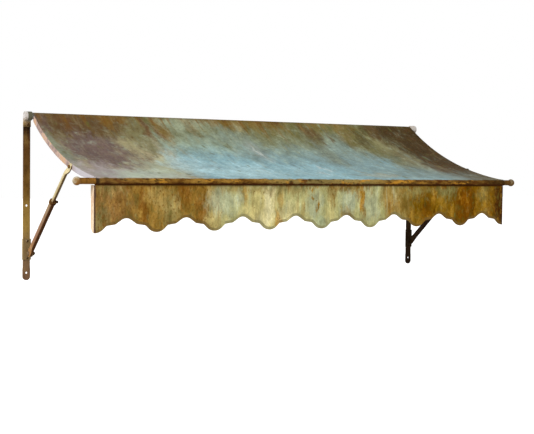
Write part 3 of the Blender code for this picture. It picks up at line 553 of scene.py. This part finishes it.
class Graph:
    """The nodes of one material or world, made call by call."""

    def __init__(self, tree):
        self.tree = tree
        tree.nodes.clear()

    def add(self, kind, settings=None, **inputs):
        """A new node with its settings, its inputs fed by name."""
        made = self.tree.nodes.new(kind)
        for key, value in (settings or {}).items():
            setattr(made, key, value)
        for key, value in inputs.items():
            self.feed(made.inputs[key.replace("_", " ")], value)
        return made

    def feed(self, socket, value):
        """Links a socket to another node's output, or sets it."""
        if isinstance(value, bpy.types.NodeSocket):
            self.tree.links.new(value, socket)
        elif value is not None:
            socket.default_value = value

    def math(self, operation, a, b=0.0, c=0.0):
        """The result of one operation."""
        made = self.add("ShaderNodeMath", {"operation": operation})
        for socket, value in zip(made.inputs, (a, b, c)):
            self.feed(socket, value)
        return made.outputs[0]

    def times(self, a, b):
        """a times b."""
        return self.math("MULTIPLY", a, b)

    def times_plus(self, a, b, c):
        """a times b, plus c."""
        return self.math("MULTIPLY_ADD", a, b, c)

    def apart(self, vector):
        """The three parts of a vector."""
        return self.add("ShaderNodeSeparateXYZ", Vector=vector).outputs

    def place(self, x, y, z=0.0):
        """A vector of three parts."""
        return self.add("ShaderNodeCombineXYZ", X=x, Y=y, Z=z).outputs[0]

    def shaders(self, share, a, b):
        """One shader that goes from a to b by a share."""
        made = self.add("ShaderNodeMixShader")
        for socket, value in zip(made.inputs, (share, a, b)):
            self.feed(socket, value)
        return made.outputs[0]

    def mix(self, share, a, b):
        """A colour that goes from a to b by a share."""
        made = self.add("ShaderNodeMix", {"data_type": "RGBA"})
        self.feed(made.inputs[0], share)
        self.feed(made.inputs[6], a)
        self.feed(made.inputs[7], b)
        return made.outputs[2]

    def ramp(self, value, low, high, bottom=0.0, top=1.0):
        """Goes smoothly from bottom to top as value goes from low to high."""
        made = self.add("ShaderNodeMapRange", {"interpolation_type": "SMOOTHSTEP"}, Value=value)
        for socket, number in zip(list(made.inputs)[1:5], (low, high, bottom, top)):
            self.feed(socket, number)
        return made.outputs[0]

    def lay(self, tint, code, value, low, high, share=1.0, mask=None):
        """Lays a colour over a tint as a value goes from low to high, by a share and a mask."""
        cover = self.ramp(value, low, high, 0.0, share)
        if mask is not None:
            cover = self.times(cover, mask)
        return self.mix(cover, tint, colour(code))

    def noise(self, at, scale, detail=3.0, roughness=0.55, stretch=(1, 1, 1), shift=(0, 0, 0)):
        """Cloudy noise about 0.5. Its grain is long along an axis where stretch is small."""
        moved = self.add("ShaderNodeMapping", Vector=at, Scale=stretch, Location=shift).outputs[0]
        made = self.add("ShaderNodeTexNoise", Vector=moved, Scale=scale, Detail=detail)
        self.feed(made.inputs["Roughness"], roughness)
        return made.outputs[0]

    def about(self, *values):
        """The same noise, about 0."""
        return self.math("SUBTRACT", self.noise(*values), 0.5)

    def uneven(self, tint, field, depth):
        """Lightens and darkens a colour by a noise about 0. Where it is darker it is also richer."""
        value = self.times_plus(field, depth, 1.0)
        rich = self.times_plus(field, -DARK_IS_RICHER * depth, 1.0)
        return self.add("ShaderNodeHueSaturation", Value=value, Saturation=rich, Color=tint).outputs[0]

    def bands(self, value, stops):
        """One colour after another along a value, blended in between. Stops are (value, colour code)."""
        made = self.add("ShaderNodeValToRGB")
        elements = made.color_ramp.elements
        low, high = stops[0][0], stops[-1][0]
        for k, (place, code) in enumerate(stops):
            share = (place - low) / (high - low)
            element = elements[k] if k < 2 else elements.new(share)
            element.position = share
            element.color = colour(code)
        share = self.math("DIVIDE", self.math("SUBTRACT", value, low), high - low)
        self.feed(made.inputs[0], share)
        return made.outputs[0]

    def blot(self, at, centre, radii, strength, ragged):
        """How much of a blot covers a point: strength inside, dissolved raggedly towards its radii."""
        scale = (*[1 / r for r in radii], 0)
        offset = (*[-c / r for c, r in zip(centre, radii)], 0)
        local = self.add("ShaderNodeMapping", Vector=at, Scale=scale, Location=offset).outputs[0]
        away = self.add("ShaderNodeVectorMath", {"operation": "LENGTH"}, Vector=local).outputs["Value"]
        return self.ramp(self.math("ADD", away, ragged), BLOT_CORE, 1.0, strength, 0.0)

    def surface(self, tint, roughness, height):
        """Ends a material in one shader with its colour, roughness and relief."""
        bump = self.add("ShaderNodeBump", Height=height, Strength=RELIEF_SHARE, Distance=RELIEF)
        shader = self.add("ShaderNodeBsdfPrincipled", Base_Color=tint, Roughness=roughness)
        self.feed(shader.inputs["Normal"], bump.outputs[0])
        shader.inputs["Specular IOR Level"].default_value = SHEEN
        self.add("ShaderNodeOutputMaterial", Surface=shader.outputs[0])


def material(name):
    """A new material and its empty graph."""
    made = bpy.data.materials.new(name)
    made.use_nodes = True
    return made, Graph(made.node_tree)


def looked_at(graph):
    """1 for what the camera sees, straight or in a reflection, and 0 for light that bounces."""
    path = graph.add("ShaderNodeLightPath").outputs
    seen = graph.math("MAXIMUM", path["Is Camera Ray"], path["Is Glossy Ray"])
    return graph.math("MAXIMUM", seen, path["Is Transmission Ray"])


def surroundings():
    """White to look at, but plain soft light on the object."""
    world = bpy.data.worlds.new("studio")
    bpy.context.scene.world = world
    world.use_nodes = True
    graph = Graph(world.node_tree)
    light = graph.add("ShaderNodeBackground", Color=(1, 1, 1, 1), Strength=WORLD_LEVEL).outputs[0]
    white = graph.add("ShaderNodeBackground", Color=(1, 1, 1, 1), Strength=1.0).outputs[0]
    graph.add("ShaderNodeOutputWorld", Surface=graph.shaders(looked_at(graph), light, white))


def floor():
    """A pale floor with the awning's shadow on it, which only shows from above."""
    mesh = bpy.data.meshes.new("floor")
    half = FLOOR_SIZE / 2
    corners = [(-half, -half), (half, -half), (half, half), (-half, half)]
    mesh.from_pydata([(x, y, -FLOOR_DROP) for x, y in corners], [], [(0, 1, 2, 3)])
    made = placed("floor", mesh)
    paint, graph = material("floor")
    plain = graph.add("ShaderNodeBsdfDiffuse", Color=(FLOOR_GREY, FLOOR_GREY, FLOOR_GREY, 1)).outputs[0]
    glow = graph.add("ShaderNodeEmission", Color=(1, 1, 1, 1), Strength=FLOOR_LIFT).outputs[0]
    lifted = graph.add("ShaderNodeAddShader")
    graph.feed(lifted.inputs[0], plain)
    graph.feed(lifted.inputs[1], glow)
    above = graph.shaders(looked_at(graph), plain, lifted.outputs[0])
    clear = graph.add("ShaderNodeBsdfTransparent").outputs[0]
    below = graph.add("ShaderNodeNewGeometry").outputs["Backfacing"]
    graph.add("ShaderNodeOutputMaterial", Surface=graph.shaders(below, above, clear))
    mesh.materials.append(paint)


def torn(graph, at, value, scales, depths, stretch, turn):
    """A coordinate torn by wide swirls and a finer grain, so that stains end raggedly, and that grain."""
    wide = graph.about(at, scales[0], 3, 0.55, (1, 1, 1), (5 * turn, 2 * turn, 0))
    fine = graph.about(at, scales[1], 4, 0.65, stretch, (3 * turn, 7 * turn, 0))
    value = graph.times_plus(wide, depths[0], value)
    return graph.times_plus(fine, depths[1], value), fine


def tears(graph, at, scale, stretch):
    """Ragged fields about 0, which dissolve the edges of the stains."""
    fields = [graph.about(at, scale, 8, 0.72, stretch, (k, 11, 3 * k)) for k in range(3)]
    return [graph.times(field, BLOT_TEARS) for field in fields]


def stains(graph, tint, at, marks, palette, ragged):
    """Lays stains of paint and rust over a colour. Returns the colour and how rusty each point is."""
    rusty = 0.0
    for k, (shade, centre, radii, strength) in enumerate(marks):
        cover = graph.blot(at, centre, radii, strength, ragged[k % len(ragged)])
        tint = graph.mix(cover, tint, colour(palette[shade]))
        if shade in RUSTY:
            rusty = graph.math("MAXIMUM", rusty, cover)
    return tint, rusty


def underside(graph, at, mottle, stretch):
    """The sheets' underside and back, out of the weather: grey-green paint that has given way to blooms
    of rust.
    """
    wide = graph.noise(at, 6.5, 8, 0.70, stretch, (4, 9, 2))
    tint = graph.lay(colour(BEHIND["moss"]), BEHIND["grey"], mottle, 0.35, 0.65)
    tint = graph.lay(tint, BEHIND["brown"], wide, 0.46, 0.58, 0.85)
    tint = graph.lay(tint, BEHIND["rust"], wide, 0.54, 0.66, 0.80)
    tint = graph.lay(tint, BEHIND["bloom"], graph.noise(at, *NOISE["blooms"]), 0.56, 0.70, 0.7)
    return graph.uneven(tint, graph.about(at, 22, 7, 0.72, stretch, (2, 5, 8)), 1.8)


def pitting(graph, tint, grain, rusty, likely, start, share, code):
    """Pits, most of them where a sheet is rusty. Returns the colour and how deep each point is."""
    pits = graph.ramp(graph.times_plus(rusty, likely, grain), start, PIT_FULL)
    return graph.mix(graph.times(pits, share), tint, colour(code)), pits


def sheet_surface(graph, at, tint, mottle, rusty, pits, roughness):
    """Ends a sheet's material: rust is rougher than paint, pits are sunk and paint stands in clouds."""
    rough = graph.times_plus(rusty, 0.16, roughness)
    rough = graph.times_plus(graph.math("SUBTRACT", mottle, 0.5), 0.25, rough)
    height = graph.times(graph.noise(at, *NOISE["sheet_relief"]), graph.times_plus(rusty, 0.6, 0.25))
    height = graph.times_plus(pits, -0.5, height)
    graph.surface(tint, rough, graph.times_plus(mottle, 0.9, height))


def canopy_ground(graph, across, depth):
    """Pale blue paint at the front, gone green and olive towards the wall and dull at both ends."""
    tint = graph.lay(colour(PAINT["verdigris"]), PAINT["sage"], depth, *TURNS_SAGE)
    tint = graph.lay(tint, PAINT["olive"], depth, *TURNS_OLIVE)
    tint = graph.lay(tint, PAINT["tan"], across, *DULL_LEFT)
    return graph.lay(tint, PAINT["bark"], across, *DULL_RIGHT, 0.90)


def canopy_grain(graph, at, x, y, tint, mottle, kept):
    """Mottling, rain streaks down the slope, and rust that has run from the rod at the wall."""
    tint = graph.lay(tint, PAINT["pale_green"], mottle, 0.50, 0.78, 0.45, kept)
    tint = graph.lay(tint, PAINT["olive"], mottle, 0.48, 0.25, 0.45)
    streaks = graph.noise(at, *NOISE["canopy_streaks"])
    tint = graph.lay(tint, PAINT["tan"], streaks, 0.50, 0.76, 0.30)
    tint = graph.lay(tint, PAINT["slate"], streaks, 0.46, 0.26, 0.35, kept)
    runs = graph.times_plus(y, RUN_FALL, graph.noise(at, *NOISE["canopy_runs"]))
    runs = graph.times_plus(graph.ramp(x, *DRY_RIGHT), -0.2, runs)
    tint = graph.lay(tint, PAINT["ochre"], runs, 0.42, 0.54, 0.60)
    tint = graph.lay(tint, PAINT["rust"], runs, 0.50, 0.58, 0.45)
    lively = graph.ramp(x, *LIVELY, 0.7, 1.0)
    clouds = graph.times(graph.about(at, *NOISE["canopy_clouds"]), lively)
    grit = graph.times(graph.about(at, *NOISE["canopy_grit"]), lively)
    return graph.uneven(graph.uneven(tint, clouds, 1.7), grit, 1.0)


def canopy_specks(graph, at, x, y, tint, kept):
    """Flakes of old cream paint, and dark dots where drops have eaten in."""
    flaky = graph.times(kept, graph.ramp(x, *FLAKY, 0.3, 1.0))
    flakes = graph.noise(at, *NOISE["canopy_flakes"])
    tint = graph.lay(tint, PAINT["cream"], flakes, 0.63, 0.72, 0.45, flaky)
    flat = {"feature": "F1", "voronoi_dimensions": "2D"}
    spot = graph.place(x, graph.times(y, DOT_STRETCH))
    cell = graph.add("ShaderNodeTexVoronoi", flat, Vector=spot, Scale=DOT_CELLS).outputs
    near = graph.times_plus(graph.apart(cell["Color"])[0], -DOT_SPREAD, cell["Distance"])
    edge = DOT_RADIUS - DOT_SPREAD
    return graph.lay(tint, PAINT["moss"], near, edge, edge - DOT_RADIUS / 2, 0.60)


def bead(graph, at, across, x, z, fine):
    """The bead's colours: rust with gold flecks that are partly painted glints, and moss, darker towards
    its ends, with a painted shadow along its foot.
    """
    clouds = graph.noise(at, *NOISE["bead_clouds"])
    tint = graph.lay(colour(BEAD["brown"]), BEAD["ochre"], clouds, 0.38, 0.60)
    tint = graph.lay(tint, BEAD["straw"], clouds, 0.57, 0.70, 0.6)
    from_moss = graph.math("ABSOLUTE", graph.math("SUBTRACT", across, BEAD_MOSS_MIDDLE))
    tint = graph.lay(tint, BEAD["moss"], from_moss, *BEAD_MOSS, 0.55)
    tint = graph.lay(tint, BEAD["black"], graph.noise(at, *NOISE["bead_black"]), 0.49, 0.36, 0.85)
    tint = graph.lay(tint, BEAD["rust"], graph.noise(at, *NOISE["bead_rust"]), 0.54, 0.62, 0.70)
    tint = graph.lay(tint, BEAD["dusk"], x, *BEAD_DUSK, 0.45)
    # Gold flecks, partly rust and partly painted glints of light
    tint = graph.lay(tint, BEAD["gold"], graph.noise(at, *NOISE["bead_gold"]), 0.55, 0.63, 0.80)
    tint = graph.lay(tint, BEAD["char"], x, *BEAD_DARK_RIGHT, 0.80)
    tint = graph.lay(tint, BEAD["shade"], x, *BEAD_DARK_LEFT, 0.40)
    tint = graph.lay(tint, BEAD["tip"], x, *BEAD_DARK_TIP, 0.85)
    # A painted shadow along the bead's foot
    ragged_z = graph.times_plus(fine, 0.012, z)
    return graph.lay(tint, BEAD["line"], ragged_z, BEAD_SHADOW + BEAD_SHADOW_FALL, BEAD_SHADOW)


def bead_cover(graph, y, z, fine):
    """Where the bead is, and where rust covers it: everywhere under its crown."""
    on_bead = graph.ramp(graph.times_plus(fine, BEAD_RAGGED, y), BEAD_BACK, BEAD_BACK - BEAD_BLEND)
    ragged_z = graph.times_plus(fine, BEAD_RAGGED, z)
    under_crown = graph.ramp(ragged_z, BEAD_CROWN + CROWN_BLEND, BEAD_CROWN - CROWN_BLEND)
    return on_bead, graph.times(on_bead, under_crown)


def flange(graph, at, x, y):
    """The flanges down the sides, where the paint has faded to a blush, lilac towards the front, and
    painted dark as shade at the right.
    """
    faded = graph.noise(at, *NOISE["flange"])
    tint = graph.lay(colour(FOLDS["dusty"]), FOLDS["blush"], faded, 0.42, 0.56)
    tint = graph.lay(tint, FOLDS["apricot"], faded, 0.54, 0.64, 0.7)
    tint = graph.lay(tint, FOLDS["lilac"], y, *LILAC_FRONT)
    # Painted shade on the right flange
    return graph.lay(tint, FOLDS["dark"], x, *RIGHT_IN_SHADE)


def canopy_paint():
    """Pale blue paint, gone green and brown from the wall down, on the long sheet."""
    made, graph = material("canopy_patina")
    coords = graph.add("ShaderNodeTexCoord").outputs
    at = coords["Object"]
    x, y, z = graph.apart(at)
    slope = (1, 0.30, 0.30)
    across, fine = torn(graph, at, x, (7, 42), (0.10, 0.055), slope, 0)
    depth, _ = torn(graph, at, y, (7, 42), (0.12, 0.14), slope, 1)
    ragged = tears(graph, at, 30, (1, 0.45, 0.45))
    tint = canopy_ground(graph, across, depth)
    tint, rusty = stains(graph, tint, graph.place(across, depth), CANOPY_STAINS, PAINT, ragged)
    kept = graph.times_plus(rusty, -0.7, 1.0)
    mottle = graph.noise(at, *NOISE["canopy_mottle"])
    tint = canopy_grain(graph, at, x, y, tint, mottle, kept)
    tint = graph.lay(tint, PAINT["dark_band"], graph.times_plus(fine, 0.06, y), *GRIMY_BY_WALL, 0.5)
    tint = canopy_specks(graph, at, x, y, tint, kept)
    grain = graph.noise(at, *NOISE["canopy_pits"])
    tint, pits = pitting(graph, tint, grain, rusty, 0.10, 0.66, 0.55, PAINT["rust"])

    on_bead, rusted = bead_cover(graph, y, z, fine)
    off_bead = graph.math("SUBTRACT", 1.0, on_bead)
    tint = graph.mix(rusted, tint, bead(graph, at, across, x, z, fine))
    from_middle = graph.math("ABSOLUTE", x)
    on_side = graph.ramp(from_middle, HALF_WIDTH - FLANGE_SKIN, HALF_WIDTH - FLANGE_SKIN / 4)
    tint = graph.mix(graph.times(on_side, off_bead), tint, flange(graph, at, x, y))
    below = graph.ramp(graph.apart(coords["Normal"])[2], -0.10, -0.30)
    shade = underside(graph, at, mottle, (1, 0.5, 0.5))
    tint = graph.mix(graph.times(below, off_bead), tint, shade)
    rusty = graph.math("MAXIMUM", rusty, rusted)
    sheet_surface(graph, at, tint, mottle, rusty, pits, CANOPY_ROUGHNESS)
    return made


def trim_grain(graph, at, z, tint, mottle, kept):
    """Mottling, streaks that run straight down, rust that has run from the bead above, and a painted
    shadow under the bead.
    """
    tint = graph.lay(tint, TRIM["straw"], mottle, 0.52, 0.76, 0.50, kept)
    tint = graph.lay(tint, TRIM["moss"], mottle, 0.47, 0.26, 0.50)
    streaks = graph.noise(at, *NOISE["trim_streaks"])
    tint = graph.lay(tint, TRIM["rust"], streaks, 0.52, 0.74, 0.38)
    tint = graph.lay(tint, TRIM["ice"], streaks, 0.46, 0.28, 0.35, kept)
    hue = graph.noise(at, *NOISE["trim_hue"])
    bare = graph.math("SUBTRACT", 1.0, kept)
    tint = graph.lay(tint, TRIM["honey"], hue, 0.52, 0.66, 0.42, bare)
    tint = graph.lay(tint, TRIM["lichen"], hue, 0.48, 0.34, 0.50, bare)
    tint = graph.uneven(tint, graph.math("SUBTRACT", hue, 0.5), 0.8)
    tint = graph.uneven(tint, graph.about(at, *NOISE["trim_clouds"]), 2.2)
    fallen = graph.math("SUBTRACT", z, DRIP_TOP)
    runs = graph.times_plus(fallen, DRIP_FALL, graph.noise(at, *NOISE["trim_runs"]))
    tint = graph.lay(tint, TRIM["rust"], runs, 0.44, 0.55, 0.65)
    # A painted shadow under the bead
    tint = graph.lay(tint, TRIM["shade"], z, *UNDER_BEAD, 0.85)
    return graph.uneven(tint, graph.about(at, *NOISE["trim_grit"]), 0.8)


def trim_richness(graph, x, tint):
    """The trim's colours are a little richer at the right."""
    rich = graph.ramp(x, *RICHER, 1.0, RICHNESS)
    return graph.add("ShaderNodeHueSaturation", Saturation=rich, Color=tint).outputs[0]


def trim_rim(graph, tint, mottle, rusty):
    """A darker band along the scallops' rolled edge, fainter where the lobes face right."""
    rim = graph.add("ShaderNodeAttribute", {"attribute_type": "GEOMETRY", "attribute_name": "rim"})
    rim_level = graph.times_plus(graph.math("SUBTRACT", mottle, 0.5), 0.9, rim.outputs["Fac"])
    dark_band = graph.mix(graph.times(rusty, 0.8), colour(TRIM["dark_band"]), colour(TRIM["scale"]))
    return graph.mix(graph.ramp(rim_level, 0.25, 0.75, 0, 0.72), tint, dark_band)


def trim_ends(graph, x, y, tint, mottle, fine):
    """A dark line down the fold at each end, and the part that is folded back: pale at the left, painted
    dark as shade at the right.
    """
    outward = graph.times_plus(fine, 0.008, graph.math("ABSOLUTE", x))
    end = HALF_WIDTH + FOLD_REACH
    tint = graph.lay(tint, TRIM["bruise"], outward, HALF_WIDTH - FOLD_BLEND, end, 0.85)
    folded = graph.ramp(y, TRIM_FOLD, TRIM_FOLD + FOLD_BLEND)
    folded = graph.times(folded, graph.ramp(outward, HALF_WIDTH, end))
    folded_colour_and_shade = graph.lay(colour(FOLDS["sand"]), FOLDS["bone"], mottle, 0.40, 0.60)
    # Painted shade on the folded part at the right
    folded_colour_and_shade = graph.lay(folded_colour_and_shade, TRIM["umber"], x, *RIGHT_IN_SHADE)
    return graph.mix(folded, tint, folded_colour_and_shade)


def trim_paint():
    """The hanging trim: greenish cream paint between rusty thirds, streaked from the top."""
    made, graph = material("valance_patina")
    coords = graph.add("ShaderNodeTexCoord").outputs
    at = coords["Object"]
    x, y, z = graph.apart(at)
    across, fine = torn(graph, at, x, (16, 90), (0.045, 0.030), (1, 1, 0.25), 0)
    height, _ = torn(graph, at, z, (16, 60), (0.05, 0.09), (1, 1, 0.30), 1)
    ragged = tears(graph, at, 62, (1, 1, 0.40))
    left_third = graph.ramp(across, *LEFT_THIRD)
    right_third = graph.ramp(across, *RIGHT_THIRD)
    ground = graph.mix(left_third, colour(TRIM["sage"]), colour(TRIM["gold"]))
    ground = graph.mix(right_third, ground, colour(TRIM["ochre"]))
    tint, rusty = stains(graph, ground, graph.place(across, height), TRIM_STAINS, TRIM, ragged)
    rusty = graph.math("MAXIMUM", rusty, graph.math("MAXIMUM", left_third, right_third))
    kept = graph.times_plus(rusty, -0.92, 1.0)
    mottle = graph.noise(at, *NOISE["trim_mottle"])
    tint = trim_grain(graph, at, z, tint, mottle, kept)
    tint = trim_richness(graph, x, tint)
    grain = graph.noise(at, *NOISE["trim_pits"])
    tint, pits = pitting(graph, tint, grain, rusty, 0.08, 0.64, 0.65, TRIM["chestnut"])
    tint = trim_rim(graph, tint, mottle, rusty)
    tint = trim_ends(graph, x, y, tint, mottle, fine)
    behind = graph.ramp(graph.apart(coords["Normal"])[1], 0.30, 0.55)
    tint = graph.mix(behind, tint, underside(graph, at, mottle, (1, 1, 0.5)))
    sheet_surface(graph, at, tint, mottle, rusty, pits, TRIM_ROUGHNESS)
    return made


def clouded(graph, at, body, light, dark, speck):
    """Iron clouded lighter and darker, with specks of rust. Returns its colour, relief and roughness."""
    cloud = graph.noise(at, *NOISE["iron_clouds"])
    tint = graph.mix(graph.ramp(cloud, 0.50, 0.72), body, light)
    tint = graph.mix(graph.ramp(cloud, 0.48, 0.30), tint, dark)
    tint = graph.lay(tint, speck, graph.noise(at, *NOISE["iron_specks"]), 0.60, 0.70, 0.7)
    height = graph.times_plus(cloud, 0.8, graph.times(graph.noise(at, *NOISE["iron_relief"]), 0.6))
    return tint, height, graph.ramp(cloud, 0.3, 0.7, 0.78, 0.58)


def away_from_light(graph, normal):
    """Where a painted shade falls: from 0 on the side that faces the light, at the left and above, to 1
    at the right and below.
    """
    to_right, _, upward = graph.apart(normal)
    return graph.ramp(graph.times_plus(upward, -0.8, to_right), -0.35, 0.10)


def iron(name, body, light, dark, speck, shade_tint=None):
    """Rusted iron, with its own colour at the right and, where one is given, a painted shade on the side
    away from the light.
    """
    made, graph = material(name)
    coords = graph.add("ShaderNodeTexCoord").outputs
    at = coords["Object"]
    tint, height, rough = clouded(graph, at, colour(body), colour(light), colour(dark), speck)
    if shade_tint:
        tint = graph.mix(away_from_light(graph, coords["Normal"]), tint, colour(shade_tint))
    # Painted shade at the right end, under the canopy, unless the piece has a colour of its own there
    at_right, share = IRON_AT_RIGHT.get(name, (SHADE_COLOUR, SHADE_SHARE))
    tint = graph.lay(tint, at_right, graph.apart(at)[0], *RIGHT_IN_SHADE, share)
    graph.surface(tint, rough, height)
    return made


def strap_paint():
    """Straps: brown at the foot, ochre, then brown up to a black painted shadow under the eye, whose pale
    grey is a painted highlight.
    """
    made, graph = material("strap_iron")
    at = graph.add("ShaderNodeTexCoord").outputs["Object"]
    x, _, z = graph.apart(at)
    body = graph.bands(graph.times_plus(graph.about(at, *NOISE["strap_bands"]), 0.02, z), STRAP_BANDS)
    light = graph.mix(0.30, body, colour(STRAP["light"]))
    dark = graph.mix(0.45, body, colour(STRAP["dark"]))
    tint, height, rough = clouded(graph, at, body, light, dark, STRAP["speck"])
    under_eye = graph.ramp(z, *NECK, 0.2, 1.0)
    # Painted shade at the right, weaker on the eye above the neck
    right_shade = graph.times(graph.ramp(x, *RIGHT_IN_SHADE, 0.0, SHADE_SHARE), under_eye)
    tint = graph.mix(right_shade, tint, colour(SHADE_COLOUR))
    # Painted shade on the left eye's inner side
    inner = graph.times(graph.ramp(x, *EYE_INSIDE), graph.ramp(x, *LEFT_HALF))
    inner = graph.times(inner, graph.ramp(z, *EYE_FOOT))
    graph.surface(graph.mix(inner, tint, colour(STRAP["inside"])), rough, height)
    return made


def strut_paint():
    """Struts: a pale rod that slides in a rusty tube, with a painted shade on the side away from the
    light.
    """
    made, graph = material("strut_iron")
    coords = graph.add("ShaderNodeTexCoord").outputs
    at = coords["Object"]
    x, _, z = graph.apart(at)
    pale_body = graph.bands(z, STRUT_BANDS)
    light = graph.mix(0.30, pale_body, colour(STRUT["light"]))
    dark = graph.mix(0.40, pale_body, colour(STRUT["dark"]))
    tint, height, rough = clouded(graph, at, pale_body, light, dark, STRUT["speck"])
    shade_tint = graph.lay(colour(STRUT["tube_shade"]), STRUT["rod_shade"], z, *TUBE_END)
    tint = graph.mix(away_from_light(graph, coords["Normal"]), tint, shade_tint)
    # Painted shade on the strut at the right, under the canopy
    graph.surface(graph.lay(tint, SHADE_COLOUR, x, *RIGHT_IN_SHADE, SHADE_SHARE), rough, height)
    return made


def rounded(node, look):
    """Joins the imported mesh's loose faces, rounds its edges a little, and gives it its look."""
    mesh = node.data
    custom = mesh.attributes.get("custom_normal")
    if custom:
        mesh.attributes.remove(custom)
    mesh.polygons.foreach_set("use_smooth", [True] * len(mesh.polygons))
    weld = node.modifiers.new("weld", "WELD")
    weld.merge_threshold = WELD
    edge = node.modifiers.new("bevel", "BEVEL")
    edge.width = BEVEL
    edge.segments = BEVEL_SEGMENTS
    edge.limit_method = "ANGLE"
    edge.angle_limit = SHARP_ANGLE
    edge.harden_normals = True
    mesh.materials.clear()
    mesh.materials.append(look)


def cut_along(bm, axis, low, high, step):
    """Cuts every face of a mesh by parallel planes, so that it can bend between them."""
    normal = Vector((0, 0, 0))
    normal[axis] = 1
    count = round((high - low) / step)
    for k in range(1, count):
        at = Vector((0, 0, 0))
        at[axis] = low + (high - low) * k / count
        parts = bm.verts[:] + bm.edges[:] + bm.faces[:]
        bmesh.ops.bisect_plane(bm, geom=parts, plane_co=at, plane_no=normal, dist=1e-6)


def fade(value, low, high):
    """Rises smoothly from 0 at low to 1 at high."""
    share = min(max((value - low) / (high - low), 0.0), 1.0)
    return share * share * (3 - 2 * share)


def bend(x, y, sorts):
    """How far a sheet is bent out at a point, by several sorts of waves."""
    return sum(share * noise.noise(Vector((x * rate, y * rate, seed))) for rate, seed, share in sorts)


def rim_faces(bm, flats, high):
    """Insets the trim's two flat faces along their outline, and marks the rim that this makes."""
    rim = bm.verts.layers.float.new("rim")
    outline = {v for f in flats for v in f.verts}
    for v in outline:
        if v.co.z < SCALLOP_TOP and abs(v.co.x) < high.x - RETURN_ROOM:
            edge_faces = [f for f in v.link_faces if abs(f.normal.y) < 0.5]
            to_right = max(f.normal.x for f in edge_faces)
            v[rim] = 1 - RIM_FADES_RIGHT * max(to_right, 0)
    bmesh.ops.inset_region(bm, faces=flats, thickness=RIM_WIDTH, use_even_offset=True, use_boundary=True)
    bmesh.ops.inset_region(bm, faces=flats, thickness=RIM_FALL, use_even_offset=False, use_boundary=True)
    for v in {v for f in flats for v in f.verts}:
        v[rim] = 0.0
    for v in outline:
        v[rim] *= RIM_EDGE
    return rim


def age_trim(bm):
    """A slightly proud rim along the scallops, and shallow waves between the ends."""
    low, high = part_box("valance_sheet")
    bm.normal_update()
    flats = [f for f in bm.faces if abs(f.normal.y) > 0.99 and f.calc_area() > FLAT_AREA]
    rim = rim_faces(bm, flats, high)
    cut_along(bm, 0, low.x, high.x, TRIM_CELL)
    cut_along(bm, 2, low.z, TRIM_CUT_TOP, TRIM_CELL)
    for v in bm.verts:
        x, z = v.co.x, v.co.z
        free = fade(TRIM_HELD_HEIGHT - z, *TRIM_TOP_HOLD) * fade(high.x - abs(x), *TRIM_FOLD_HOLD)
        outward = -1 if v.co.y < TRIM_MIDDLE else 1
        v.co.y += TRIM_WAVE * free * bend(x, z, TRIM_WAVES) + RIM_PROUD * v[rim] * outward


def age_canopy(bm):
    """Shallow waves in the wide sheet, none at its rolls and flanges."""
    low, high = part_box("canopy_sheet")
    cut_along(bm, 0, low.x, high.x, CANOPY_CELL)
    for v in bm.verts:
        x, y = v.co.x, v.co.y
        off_rolls = fade(-y, *ROLL_HOLD) * fade(FRONT + y, *ROLL_HOLD)
        free = off_rolls * fade(HALF_WIDTH - abs(x), *FLANGE_HOLD)
        v.co += CANOPY_RISE * (CANOPY_WAVE * free * bend(x, y, CANOPY_WAVES))


def skin(name, node_name, look, age):
    """A copy of a sheet with the waves of its age, which stands for the plain sheet."""
    bm = bmesh.new()
    bm.from_mesh(nodes[node_name].data)
    bmesh.ops.remove_doubles(bm, verts=bm.verts, dist=WELD)
    bmesh.ops.dissolve_limit(bm, angle_limit=FLAT_ANGLE, verts=bm.verts, edges=bm.edges)
    age(bm)
    bmesh.ops.triangulate(bm, faces=[f for f in bm.faces if len(f.verts) > 4])
    mesh = bpy.data.meshes.new(name)
    bm.to_mesh(mesh)
    bm.free()
    mesh.polygons.foreach_set("use_smooth", [True] * len(mesh.polygons))
    mesh.set_sharp_from_angle(angle=SHARP_ANGLE)
    mesh.materials.append(look)
    made = placed(name, mesh)
    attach(made, "root")
    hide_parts(node_name)


bpy.context.scene.view_settings.view_transform = "Standard"
camera()
surroundings()
floor()
for name, lamp in LAMPS.items():
    sun(name, *lamp)

skin("canopy_skin", "canopy_sheet", canopy_paint(), age_canopy)
skin("valance_skin", "valance_sheet", trim_paint(), age_trim)
looks = {name: iron(name, *colours) for name, colours in IRON.items()}
looks["strap_iron"] = strap_paint()
looks["strut_iron"] = strut_paint()
for name, node in nodes.items():
    if name not in ("canopy_sheet", "valance_sheet"):
        rounded(node, looks[node.data.materials[0].name.split(".")[0]])
